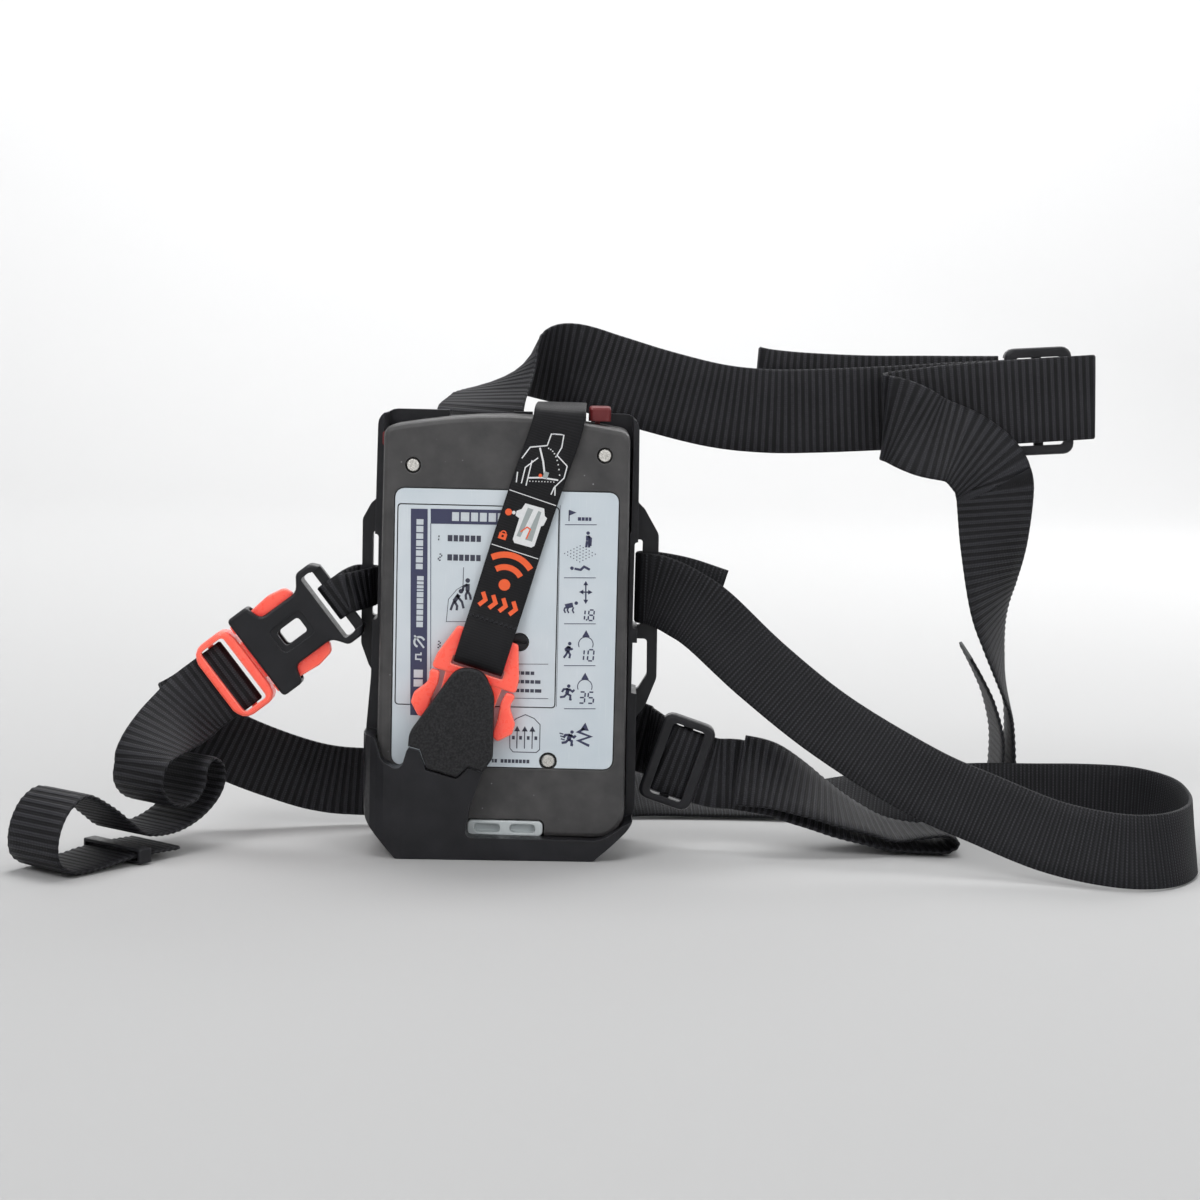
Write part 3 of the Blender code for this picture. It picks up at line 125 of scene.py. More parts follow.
WING_LOOP_ROUTE = (
    (-0.0380, 0.0040, 0.0724, -0.05, 0, 1), (-0.0394, 0.0012, 0.0722, -0.15, 0, 0.99),
    (-0.0416, -0.0014, 0.0718, -0.35, 0, 0.94), (-0.0436, -0.0028, 0.0714, -0.52, 0, 0.85),
    (-0.0454, -0.0031, 0.0709, -0.613, 0, 0.79),
    (-0.0480, -0.0031, 0.0690, -0.613, 0, 0.79), (-0.0490, -0.0022, 0.0682, -0.613, 0, 0.79),
    (-0.0490, 0.0002, 0.0682, -0.613, 0, 0.79), (-0.0480, 0.0011, 0.0690, -0.613, 0, 0.79),
    (-0.0461, 0.0012, 0.0704, -0.613, 0, 0.79), (-0.0450, 0.0024, 0.0712, -0.55, 0, 0.83),
    (-0.0445, 0.0052, 0.0718, -0.30, 0, 0.95), (-0.0440, 0.0080, 0.0722, -0.10, 0, 0.99),
    (-0.0430, 0.0104, 0.0725, 0, 0, 1), (-0.0410, 0.0114, 0.0725, 0, 0, 1),
    (-0.0384, 0.0112, 0.0725, 0, 0, 1), (-0.0371, 0.0100, 0.0725, 0, 0, 1),
    (-0.0371, 0.0070, 0.0725, 0, 0, 1))
SHOULDER_ROUTE = (
    (-0.0095, 0.0178, 0.1020, 1, 0, 0), (-0.0095, 0.0184, 0.1140, 1, 0, 0),
    (-0.0092, 0.0220, 0.1225, 1, 0, 0.10), (-0.0070, 0.0300, 0.1272, 0.97, 0, 0.25),
    (-0.0020, 0.0390, 0.1320, 0.85, -0.30, 0.45), (0.0060, 0.0460, 0.1358, 0.50, -0.35, 0.80),
    (0.0160, 0.0500, 0.1358, 0.30, -0.15, 0.95), (0.0280, 0.0505, 0.1325, 0.22, 0, 0.97),
    (0.0430, 0.0500, 0.1283, 0.18, 0, 0.98), (0.0600, 0.0500, 0.1246, 0.06, 0, 1),
    (0.0750, 0.0500, 0.1234, 0, 0, 1), (0.0900, 0.0500, 0.1238, -0.03, 0, 1),
    (0.1115, 0.0500, 0.1252, -0.03, 0, 1), (0.1300, 0.0500, 0.1267, -0.04, 0, 1),
    (0.1450, 0.0500, 0.1278, -0.04, 0, 1), (0.1600, 0.0500, 0.1289, -0.04, 0, 1),
    (0.1690, 0.0500, 0.1296, -0.04, 0, 1), (0.1718, 0.0480, 0.1300, -0.04, 0, 1),
    (0.1690, 0.0459, 0.1298, -0.04, 0, 1), (0.1500, 0.0455, 0.1282, -0.04, 0, 1),
    (0.1300, 0.0458, 0.1262, -0.04, 0, 1), (0.1150, 0.0462, 0.1240, -0.03, 0, 1),
    (0.1110, 0.0453, 0.1233, -0.06, 0, 1), (0.1096, 0.0430, 0.1228, 0, 0, 1),
    (0.1108, 0.0404, 0.1222, 0, 0, 1), (0.1146, 0.0390, 0.1210, 0.12, 0.05, 1),
    (0.1218, 0.0374, 0.1176, 0.22, 0.25, 0.94), (0.1312, 0.0366, 0.1148, 0.52, 0.42, 0.74),
    (0.1372, 0.0368, 0.1105, 0.78, 0.34, 0.52), (0.1408, 0.0376, 0.1062, 0.93, 0.26, 0.28),
    (0.1419, 0.0381, 0.1034, 0.95, 0.27, 0.16),
    (0.1425, 0.0386, 0.1005, 0.96, 0.28, 0.06), (0.1430, 0.0396, 0.0870, 0.88, 0.47, 0),
    (0.1434, 0.0412, 0.0730, 0.70, 0.71, 0), (0.1450, 0.0448, 0.0605, 0.46, 0.89, 0),
    (0.1490, 0.0500, 0.0450, 0.22, 0.97, 0), (0.1513, 0.0526, 0.0360, 0.10, 0.99, 0),
    (0.1524, 0.0532, 0.0260, 0.06, 1, 0), (0.1524, 0.0534, 0.0130, 0, 1, 0),
    (0.1516, 0.0534, 0.0050, 0, 1, 0), (0.1501, 0.0534, 0.0030, 0, 1, 0),
    (0.1486, 0.0534, 0.0050, 0, 1, 0), (0.1486, 0.0534, 0.0150, 0, 1, 0),
    (0.1484, 0.0532, 0.0268, 0, 1, 0), (0.1456, 0.0528, 0.0372, 0.02, 1, 0),
    (0.1422, 0.0522, 0.0444, 0.04, 1, 0), (0.1376, 0.0516, 0.0524, 0.06, 1, 0))
SLACK_ROUTE = (
    (0.1420, 0.0545, 0.1288, -0.04, 0, 1), (0.1250, 0.0548, 0.1286, -0.03, 0, 1),
    (0.1050, 0.0552, 0.1282, -0.02, 0, 1), (0.0860, 0.0554, 0.1286, 0, 0, 1),
    (0.0750, 0.0556, 0.1294, 0.05, 0, 1), (0.0724, 0.0580, 0.1300, 0.05, 0, 1),
    (0.0752, 0.0604, 0.1294, 0.05, 0, 1), (0.0880, 0.0600, 0.1282, 0, 0, 1),
    (0.1080, 0.0590, 0.1280, -0.02, 0, 1), (0.1280, 0.0578, 0.1286, -0.03, 0, 1),
    (0.1450, 0.0572, 0.1290, -0.04, 0, 1))
SIDE_ROUTE = (
    (0.0140, 0.0176, 0.0330, 0.20, 0, 0.98), (0.0290, 0.0180, 0.0312, 0.25, 0, 0.97),
    (0.0398, 0.0172, 0.0288, 0.10, 0, 0.99), (0.0420, 0.0130, 0.0282, 0.10, 0, 0.99),
    (0.0432, 0.0078, 0.0275, 0.25, 0, 0.97), (0.0452, 0.0046, 0.0263, 0.312, 0, 0.95),
    (0.0472, 0.0040, 0.0254, 0.312, 0, 0.95), (0.0540, 0.0040, 0.0232, 0.312, 0, 0.95),
    (0.0600, 0.0040, 0.0216, 0.25, 0, 0.97), (0.0670, 0.0042, 0.0212, 0.10, 0.20, 0.97),
    (0.0755, 0.0048, 0.0190, 0, 0.50, 0.86), (0.0849, 0.0056, 0.0142, -0.10, 0.72, 0.69),
    (0.0940, 0.0066, 0.0092, -0.18, 0.86, 0.48), (0.1026, 0.0076, 0.0052, -0.18, 0.95, 0.25),
    (0.1102, 0.0084, 0.0024, -0.08, 0.99, 0.08), (0.1200, 0.0088, 0.0012, 0, 1, 0),
    (0.1265, 0.0090, 0.0012, 0, 1, 0), (0.1296, 0.0092, 0.0034, 0, 1, 0),
    (0.1268, 0.0090, 0.0058, 0, 1, 0), (0.1200, 0.0086, 0.0054, 0, 1, 0),
    (0.1110, 0.0078, 0.0058, -0.08, 0.98, 0.15), (0.1030, 0.0064, 0.0090, -0.18, 0.93, 0.30),
    (0.0944, 0.0044, 0.0130, -0.18, 0.84, 0.50), (0.0852, 0.0026, 0.0178, -0.10, 0.70, 0.70),
    (0.0758, 0.0012, 0.0218, 0, 0.48, 0.87), (0.0672, 0.0008, 0.0232, 0.10, 0.18, 0.98))
RETAINER_ROUTE = (
    (0.0142, 0.0178, 0.1040, 1, 0, 0), (0.0142, 0.0180, 0.1140, 1, 0, 0),
    (0.0142, 0.0172, 0.1215, 1, 0, 0), (0.0143, 0.0130, 0.1247, 1, 0, 0),
    (0.0144, 0.0040, 0.1252, 1, 0, 0), (0.0144, -0.0080, 0.1248, 1, 0, 0),
    (0.0143, -0.0140, 0.1236, 1, 0, -0.06), (0.0138, -0.0152, 0.1200, 0.98, 0, -0.2),
    (0.0120, -0.0152, 0.1140, 0.958, 0, -0.287), (0.0090, -0.0153, 0.1050, 0.958, 0, -0.287),
    (0.0040, -0.0154, 0.0890, 0.958, 0, -0.287), (-0.0010, -0.0158, 0.0720, 0.958, 0, -0.287),
    (-0.0034, -0.0172, 0.0640, 0.958, 0, -0.287), (-0.0048, -0.0180, 0.0594, 0.958, 0, -0.287),
    (-0.0062, -0.0180, 0.0546, 0.958, 0, -0.287), (-0.0067, -0.0164, 0.0530, 0.958, 0, -0.287),
    (-0.0062, -0.0149, 0.0546, 0.958, 0, -0.287), (-0.0046, -0.0149, 0.0596, 0.958, 0, -0.287))


def smooth_route(stations, spacing, closed=False):
    """Centres, directions and edge vectors along a Catmull-Rom curve through the stations."""
    count = len(stations)
    centres = [Vector(s[:3]) for s in stations]
    edges = [Vector(s[3:]).normalized() for s in stations]

    def pick(values, i):
        if closed:
            return values[i % count]
        if i < 0:
            return values[0] * 2 - values[1]
        if i >= count:
            return values[-1] * 2 - values[-2]
        return values[i]

    samples = []
    for i in range(count if closed else count - 1):
        p = [pick(centres, i + k) for k in (-1, 0, 1, 2)]
        q = [pick(edges, i + k) for k in (-1, 0, 1, 2)]
        steps = max(1, round((p[2] - p[1]).length / spacing))
        for step in range(steps):
            t = step / steps
            weights = (-t + 2 * t ** 2 - t ** 3, 2 - 5 * t ** 2 + 3 * t ** 3,
                       t + 4 * t ** 2 - 3 * t ** 3, t ** 3 - t ** 2)
            samples.append((sum((v * w / 2 for v, w in zip(p, weights)), Vector()),
                            sum((v * w / 2 for v, w in zip(q, weights)), Vector())))
    if not closed:
        samples.append((centres[-1], edges[-1]))
    route = []
    for i, (centre, edge) in enumerate(samples):
        last = len(samples) - 1
        ahead = samples[(i + 1) % len(samples)][0] if closed else samples[min(i + 1, last)][0]
        behind = samples[i - 1][0] if closed else samples[max(i - 1, 0)][0]
        along = (ahead - behind).normalized()
        edge = (edge - along * edge.dot(along)).normalized()
        route.append((centre, along, edge))
    return route


# ---------------------------------------------------------------- material graphs
class Finish:
    """A Principled material whose detail is added step by step."""

    def __init__(self, name, colour, roughness, metallic=0.0, **sockets):
        self.material = bpy.data.materials.new(name)
        self.material.use_nodes = True
        self.tree = self.material.node_tree
        self.shader = self.tree.nodes["Principled BSDF"]
        self.shader.inputs["Base Color"].default_value = (*colour, 1)
        self.shader.inputs["Roughness"].default_value = roughness
        self.shader.inputs["Metallic"].default_value = metallic
        for key, value in sockets.items():
            self.shader.inputs[key.replace("_", " ")].default_value = value

    def add(self, kind, sources=(), **settings):
        node = self.tree.nodes.new("ShaderNode" + kind)
        for key, value in settings.items():
            setattr(node, key, value)
        for key, source in dict(sources).items():
            if isinstance(source, bpy.types.NodeSocket):
                self.tree.links.new(source, node.inputs[key])
            else:
                node.inputs[key].default_value = source
        return node

    def place(self, kind="Object"):
        return self.add("TexCoord").outputs[kind]

    def math(self, operation, first, second=0.0):
        return self.add("Math", {0: first, 1: second}, operation=operation).outputs[0]

    def noise(self, scale, detail=3.0, place=None):
        place = place or self.place()
        return self.add("TexNoise", {"Vector": place, "Scale": scale, "Detail": detail}).outputs["Fac"]

    def spread(self, value, low, high, to_low, to_high):
        return self.add("MapRange", {0: value, 1: low, 2: high, 3: to_low, 4: to_high}).outputs[0]

    def blend(self, factor, one, two):
        node = self.add("Mix", data_type="RGBA")
        self.tree.links.new(factor, node.inputs[0])
        for socket, colour in ((node.inputs[6], one), (node.inputs[7], two)):
            if isinstance(colour, bpy.types.NodeSocket):
                self.tree.links.new(colour, socket)
            else:
                socket.default_value = (*colour, 1)
        return node.outputs[2]

    def edge(self, radius):
        """How far the rounded normal leans from the flat one: high on edges only."""
        rounded = self.add("Bevel", {"Radius": radius}, samples=4).outputs[0]
        flat = self.add("NewGeometry").outputs["True Normal"]
        lean = self.add("VectorMath", {0: rounded, 1: flat}, operation="DOT_PRODUCT").outputs["Value"]
        return self.spread(lean, 0.995, 0.80, 0.0, 1.0), rounded

    def colour(self, socket):
        self.tree.links.new(socket, self.shader.inputs["Base Color"])

    def rough(self, socket):
        self.tree.links.new(socket, self.shader.inputs["Roughness"])

    def bump(self, height, strength, distance, normal=None):
        sources = {"Height": height, "Strength": strength, "Distance": distance}
        if normal:
            sources["Normal"] = normal
        self.tree.links.new(self.add("Bump", sources).outputs[0], self.shader.inputs["Normal"])


def moulded(name, dark, light, roughness, grain, depth, edge_wear_and_highlight, specks=None, radius=0.00035,
            mottle=140, **sockets):
    """Moulded plastic: mottled colour, fine grain, softened edges lightened by edge wear and a painted edge
    highlight.
    """
    made = Finish(name, dark, roughness, **sockets)
    body = made.blend(made.spread(made.noise(mottle, 4), 0.35, 0.68, 0.0, 1.0), dark, light)
    if specks:
        cells = made.add("TexVoronoi", {"Vector": made.place(), "Scale": 420.0})
        chosen = made.spread(made.add("SeparateColor", {0: cells.outputs["Color"]}).outputs[0],
                             0.90, 0.98, 0.0, 1.0)
        dots = made.spread(cells.outputs["Distance"], 0.04, 0.11, 1.0, 0.0)
        body = made.blend(made.math("MULTIPLY", dots, chosen), body, specks)
    # Edges are lightened toward the edge colour. This is partly edge wear and partly a painted edge
    # highlight.
    edge_wear_and_highlight_mask, rounded = made.edge(radius)
    made.colour(made.blend(edge_wear_and_highlight_mask, body, edge_wear_and_highlight))
    made.rough(made.spread(made.noise(900, 2), 0.3, 0.7, roughness - 0.06, roughness + 0.08))
    made.bump(made.noise(grain, 3), 0.35, depth, rounded)
    return made.material


def glowing_red(name):
    """Coral plastic that lets some light through. It has a painted glow from its emission, painted shade in
    deep red in its corners, and edges lightened by a painted highlight and edge wear.
    """
    # The emission is a painted glow: the plastic shines on its own though it is no lamp.
    made = Finish(name, (0.95, 0.10, 0.06), 0.30, Subsurface_Weight=0.30, Subsurface_Scale=0.002,
                  Emission_Color=(1.0, 0.06, 0.035, 1), Emission_Strength=0.20, Coat_Weight=0.2)
    edge_wear_and_highlight_mask, rounded = made.edge(0.0008)
    # Painted shade: ambient occlusion darkens corners and recesses to a deep red.
    occlusion_for_painted_shade = made.add("AmbientOcclusion", {"Distance": 0.0045}, samples=8).outputs["AO"]
    body = made.blend(made.spread(occlusion_for_painted_shade, 0.35, 0.95, 0.0, 1.0), (0.60, 0.001, 0.010), (1.0, 0.125, 0.080))
    body = made.blend(made.spread(made.noise(260, 2), 0.35, 0.75, 0.0, 0.25), body, (1.0, 0.20, 0.14))
    # Edges are lightened: edge wear and a painted edge highlight.
    made.colour(made.blend(edge_wear_and_highlight_mask, body, (1.0, 0.42, 0.33)))
    made.rough(made.spread(made.noise(700, 2), 0.3, 0.7, 0.24, 0.38))
    made.bump(made.noise(1400, 2), 0.2, 0.00002, rounded)
    return made.material


def metal(name, colour, roughness, scale=1600):
    made = Finish(name, colour, roughness, 1.0)
    rounded = made.edge(0.00015)[1]
    worn = made.noise(scale, 4)
    made.colour(made.blend(made.spread(worn, 0.4, 0.7, 0.0, 0.6), colour, [c * 0.6 for c in colour]))
    made.rough(made.spread(worn, 0.3, 0.7, roughness - 0.08, roughness + 0.14))
    made.bump(worn, 0.3, 0.00003, rounded)
    return made.material


def half_wave(made, value, pitch):
    """A smooth wave from 0 to 1 over each pitch."""
    sine = made.math("SINE", made.math("MULTIPLY", value, 2 * math.pi / pitch))
    return made.spread(sine, -1.0, 1.0, 0.0, 1.0)


def woven(name, dark, light, across_pitch, along_pitch, rib, depth, roughness, sheen):
    """Woven cloth on strap coordinates in millimetres: warp threads over cross ribs."""
    made = Finish(name, dark, roughness, Sheen_Weight=sheen, Sheen_Roughness=0.35,
                  Specular_IOR_Level=0.22)
    parts = made.add("SeparateXYZ", {0: made.place("UV")})
    across, along = parts.outputs[0], parts.outputs[1]
    ribs = half_wave(made, along, rib)
    shifted = made.math("ADD", across, made.math("MULTIPLY", ribs, across_pitch * 0.5))
    warp = half_wave(made, shifted, across_pitch)
    weft = half_wave(made, along, along_pitch)
    threads = made.math("MULTIPLY", warp, weft)
    grain = made.noise(2600, 3)
    # Painted highlight and shade: rib crests and thread tops are lightened toward the light colour and the
    # grooves are left dark, with random grain in the tone.
    painted_crest_highlight = made.math("MULTIPLY", made.math("POWER", ribs, 1.6), made.spread(threads, 0.0, 1.0, 0.35, 1.0))
    painted_crest_highlight = made.math("MULTIPLY", painted_crest_highlight, made.spread(grain, 0.3, 0.75, 0.6, 1.25))
    body = made.blend(painted_crest_highlight, dark, light)
    faded = made.spread(made.noise(60, 2), 0.35, 0.7, 0.0, 0.10)
    made.colour(made.blend(faded, body, light))
    made.rough(made.spread(threads, 0.0, 1.0, roughness + 0.08, roughness - 0.10))
    height = made.math("ADD", threads, made.math("MULTIPLY", grain, 0.5))
    made.bump(height, 0.8, depth)
    return made.material


def printed(name, colour, roughness=0.5):
    """Printing ink: a little uneven in tone and gloss."""
    made = Finish(name, colour, roughness)
    uneven = made.noise(1500, 3)
    made.colour(made.blend(uneven, [c * 0.82 for c in colour], colour))
    made.rough(made.spread(uneven, 0.3, 0.7, roughness - 0.06, roughness + 0.1))
    made.bump(uneven, 0.2, 0.00001)
    return made.material


def label_film():
    made = Finish("label_film", (0.60, 0.66, 0.70), 0.42, Coat_Weight=0.15)
    cloudy = made.noise(45, 3)
    body = made.blend(made.spread(cloudy, 0.3, 0.7, 0.0, 1.0), (0.56, 0.63, 0.68), (0.64, 0.69, 0.73))
    scratches = made.noise(1.0, 2, made.add("Mapping", {0: made.place(), 3: (2600, 2600, 160)}).outputs[0])
    made.colour(made.blend(made.spread(scratches, 0.62, 0.75, 0.0, 0.25), body, (0.74, 0.78, 0.80)))
    made.rough(made.spread(cloudy, 0.3, 0.7, 0.36, 0.50))
    rounded = made.edge(0.0002)[1]
    made.bump(made.noise(2200, 2), 0.25, 0.00001, rounded)
    return made.material


def glass(name, colour):
    made = Finish(name, colour, 0.08, Coat_Weight=0.6)
    smear = made.noise(120, 3)
    made.colour(made.blend(smear, colour, [min(1, c * 1.4) for c in colour]))
    made.rough(made.spread(smear, 0.3, 0.7, 0.05, 0.16))
    return made.material


def board():
    made = Finish("circuit_board", (0.02, 0.12, 0.05), 0.45)
    tracks = made.add("TexBrick", {"Vector": made.place(), "Color1": (0.012, 0.10, 0.04, 1),
                                   "Color2": (0.02, 0.14, 0.06, 1), "Mortar": (0.05, 0.20, 0.09, 1),
                                   "Scale": 140.0, "Mortar Size": 0.03})
    made.colour(tracks.outputs["Color"])
    made.bump(tracks.outputs["Fac"], 0.4, 0.00003)
    return made.material


def winding():
    made = Finish("copper_winding", (0.62, 0.28, 0.12), 0.3, 1.0)
    turns = made.add("TexWave", {"Vector": made.place(), "Scale": 900.0, "Distortion": 0.6},
                     bands_direction="DIAGONAL").outputs["Fac"]
    made.colour(made.blend(turns, (0.30, 0.11, 0.04), (0.70, 0.33, 0.14)))
    made.bump(turns, 0.8, 0.00005)
    return made.material


# The last colour of each moulded finish is its edge colour: edge wear and a painted edge highlight.
BLACK_PLASTIC = moulded("cradle_plastic", (0.0085, 0.0085, 0.0105), (0.014, 0.014, 0.017), 0.36,
                        1500, 0.00003, (0.045, 0.046, 0.052), Specular_IOR_Level=0.32)
DARK_PLASTIC = moulded("housing_plastic", (0.044, 0.043, 0.044), (0.068, 0.066, 0.066), 0.46, 1900, 0.00006,
                       (0.105, 0.104, 0.104), specks=(0.30, 0.30, 0.31), radius=0.0006,
                       Specular_IOR_Level=0.4)
SOFT_RUBBER = moulded("tongue_rubber", (0.005, 0.005, 0.006), (0.024, 0.024, 0.026), 0.55, 2400, 0.00022,
                      (0.060, 0.060, 0.063), radius=0.0005, mottle=1900, Specular_IOR_Level=0.3)
CORAL = glowing_red("coral_plastic")
DARK_RED = moulded("dark_red_plastic", (0.13, 0.009, 0.012), (0.17, 0.014, 0.016), 0.40, 1500, 0.00003,
                   (0.26, 0.03, 0.03))
PALE_PLASTIC = moulded("eyelet_plastic", (0.50, 0.54, 0.55), (0.56, 0.60, 0.61), 0.48, 1500, 0.00003,
                       (0.66, 0.69, 0.70))
SEAL = moulded("seal_rubber", (0.018, 0.018, 0.018), (0.026, 0.026, 0.026), 0.75, 1900, 0.00005,
               (0.035, 0.035, 0.035))
FERRITE = moulded("ferrite", (0.045, 0.045, 0.050), (0.065, 0.065, 0.07), 0.45, 1200, 0.00006,
                  (0.09, 0.09, 0.10))
STEEL = metal("screw_steel", (0.74, 0.72, 0.68), 0.26)
JACKET = metal("cell_jacket", (0.55, 0.42, 0.12), 0.32, 500)
FILM = label_film()
COPPER = winding()
BOARD = board()
DISPLAY = glass("display_glass", (0.30, 0.34, 0.30))
WINDOW = glass("display_window", (0.05, 0.055, 0.06))
# The second colour of each woven finish is its painted highlight on rib crests and thread tops.
WEBBING = woven("webbing", (0.0020, 0.0020, 0.0028), (0.054, 0.054, 0.063), 0.62, 0.70, RIB / MM,
                0.00012, 0.50, 0.02)
ELASTIC = woven("elastic", (0.0035, 0.0035, 0.0045), (0.038, 0.039, 0.045), 0.80, 0.80, ELASTIC_RIB / MM,
                0.00010, 0.66, 0.02)
RIBBON = woven("retainer_webbing", (0.0045, 0.0045, 0.0055), (0.016, 0.016, 0.019), 0.36, 0.36, 0.72,
               0.00003, 0.50, 0.01)
THREAD = woven("thread", (0.003, 0.003, 0.004), (0.06, 0.06, 0.07), 0.2, 0.3, 0.4, 0.00003, 0.45, 0.02)
NAVY = printed("navy_ink", (0.042, 0.046, 0.105))
INK = printed("dark_ink", (0.045, 0.048, 0.075))
PALE_INK = printed("pale_ink", (0.62, 0.67, 0.71))
WHITE_INK = printed("white_ink", (0.80, 0.81, 0.82))
GREY_INK = printed("grey_ink", (0.36, 0.40, 0.40))
ORANGE_INK = printed("orange_ink", (0.95, 0.125, 0.028))

PAINT = {
    "cradle_shell": BLACK_PLASTIC, "battery_lock": BLACK_PLASTIC, "buckle_female": BLACK_PLASTIC,
    "side_slider": BLACK_PLASTIC, "shoulder_tri_glide": BLACK_PLASTIC, "tail_keeper": BLACK_PLASTIC,
    "latch_tongue": SOFT_RUBBER, "rear_housing": DARK_PLASTIC, "front_housing": DARK_PLASTIC,
    "battery_door": DARK_PLASTIC, "housing_seal": SEAL, "door_seal": SEAL, "label_plate": FILM,
    "door_label": FILM, "lanyard_eyelet": PALE_PLASTIC, "mode_switch": DARK_RED, "switch_lock": DARK_RED,
    "left_button": CORAL, "right_button": CORAL, "retainer_clip": CORAL, "clip_arm_left": CORAL,
    "clip_arm_right": CORAL, "buckle_male": CORAL, "buckle_arm_upper": CORAL, "buckle_arm_lower": CORAL,
    "main_board": BOARD, "lcd_module": DISPLAY, "lcd_window": WINDOW, "antenna_long_rod": FERRITE,
    "antenna_cross_rod": FERRITE, "antenna_long_coil": COPPER, "antenna_cross_coil": COPPER,
    "antenna_depth_coil": COPPER, "loudspeaker": STEEL, "vibration_motor": STEEL,
    "contact_plate_lower": STEEL, "contact_plate_upper": STEEL,
}
for count in (1, 2, 3, 4):
    PAINT["housing_screw_%d" % count] = STEEL
for count in (1, 2, 3):
    PAINT["cell_%d" % count] = JACKET
    PAINT["cell_spring_%d" % count] = STEEL


def paint_cad():
    for name, finish in PAINT.items():
        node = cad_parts[name]
        node.data.materials.clear()
        node.data.materials.append(finish)


# ---------------------------------------------------------------- woven straps
def sections(stations, spacing, closed=False):
    """Each step along a strap: distance from its start, centre, edge vector, face normal."""
    made, travelled, last = [], 0.0, None
    for centre, along, edge in smooth_route(stations, spacing, closed):
        travelled += (centre - last).length if last else 0.0
        last = centre
        made.append((travelled, centre, edge, along.cross(edge)))
    return made


# Position across the strap from -1 to 1, and how much of its thickness is left there.
ACROSS = ((-1.0, 0.30), (-0.955, 0.95), (-0.60, 1.0), (-0.20, 1.0),
          (0.20, 1.0), (0.60, 1.0), (0.955, 0.95), (1.0, 0.30))


def ribbon(name, stations, width, thickness, finish, pitch, depth, closed=False):
    """A woven strap whose thickness rises and falls with its cross ribs."""
    around = [(a, left, 1) for a, left in ACROSS] + [(a, left, -1) for a, left in reversed(ACROSS)]
    points, marks = [], []
    steps = sections(stations, STEP, closed)
    for travelled, centre, edge, normal in steps:
        turn = 2 * math.pi * travelled / pitch
        for a, left, side in around:
            rib = 1 - depth * (0.5 - 0.5 * side * math.sin(turn))
            points.append(centre + edge * (a * width / 2) + normal * (side * left * rib * thickness / 2))
            marks.append((a * width / 2 / MM, (travelled + (pitch / 2 if side < 0 else 0)) / MM))
    count, faces = len(around), []
    for i in range(len(steps) if closed else len(steps) - 1):
        j = (i + 1) % len(steps)
        for k in range(count):
            m = (k + 1) % count
            faces.append((i * count + k, i * count + m, j * count + m, j * count + k))
    if not closed:
        last = (len(steps) - 1) * count
        for k in range(len(ACROSS) - 1):
            m = count - 1 - k
            faces.append((k, m, m - 1, k + 1)[::-1])
            faces.append((last + k, last + m, last + m - 1, last + k + 1))
    mesh = bpy.data.meshes.new(name)
    mesh.from_pydata(points, [], faces)
    layer = mesh.uv_layers.new(name="strap")
    for loop in mesh.loops:
        layer.data[loop.index].uv = marks[loop.vertex_index]
    shaped = bmesh.new()
    shaped.from_mesh(mesh)
    bmesh.ops.recalc_face_normals(shaped, faces=shaped.faces)
    shaped.to_mesh(mesh)
    shaped.free()
    mesh.shade_smooth()
    mesh.materials.append(finish)
    made = bpy.data.objects.new(name, mesh)
    bpy.context.collection.objects.link(made)
    return made, steps[-1][0]


def merged_belt():
    """One length of webbing: behind the cradle, round the plug's bar, and off into the loose tail."""
    return BELT_ROUTE[:-1] + WRAP_ROUTE[:-1] + TAIL_ROUTE


def straps():
    on_root = (
        ("elastic_web", ELASTIC_ROUTE, NARROW, WEB, ELASTIC, ELASTIC_RIB, ELASTIC_RELIEF,
         "elastic_strap"),
        ("shoulder_web", SHOULDER_ROUTE, WIDE, WEB, WEBBING, RIB, WEB_RELIEF, "shoulder_strap"),
        ("shoulder_slack_web", SLACK_ROUTE, WIDE, WEB, WEBBING, RIB, WEB_RELIEF, "shoulder_slack"),
        ("side_web", SIDE_ROUTE, NARROW, WEB, WEBBING, RIB, WEB_RELIEF, "side_strap"),
    )
    for name, route, width, thickness, finish, pitch, depth, node in on_root:
        made, length = ribbon(name, route, width, thickness, finish, pitch, depth)
        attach(made, ROOT)
        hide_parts(node)
    loop, length = ribbon("wing_loop_web", WING_LOOP_ROUTE, LOOP_WIDTH, WEB - 0.0002, WEBBING, RIB,
                          WEB_RELIEF, True)
    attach(loop, ROOT)
    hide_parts("wing_loop")
    belt, length = ribbon("belt_web", merged_belt(), NARROW, WEB, WEBBING, RIB, WEB_RELIEF)
    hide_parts("belt_webbing", "belt_bar_wrap", "belt_tail")
    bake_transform(belt)
    retainer, length = ribbon("retainer_web", RETAINER_ROUTE, RETAINER_WIDTH, RETAINER_WEB, RIBBON,
                              RETAINER_RIB, RETAINER_RELIEF)
    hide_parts("retainer_strap")
    blend_retainer(retainer)


def blend_retainer(piece):
    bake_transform(piece)


# ---------------------------------------------------------------- printed shapes, in millimetres
def bar(low_a, low_b, high_a, high_b):
    return [[(low_a, low_b), (high_a, low_b), (high_a, high_b), (low_a, high_b)]]


def disc(a, b, radius, sides=20):
    turns = [2 * math.pi * i / sides for i in range(sides)]
    return [[(a + radius * math.cos(t), b + radius * math.sin(t)) for t in turns]]


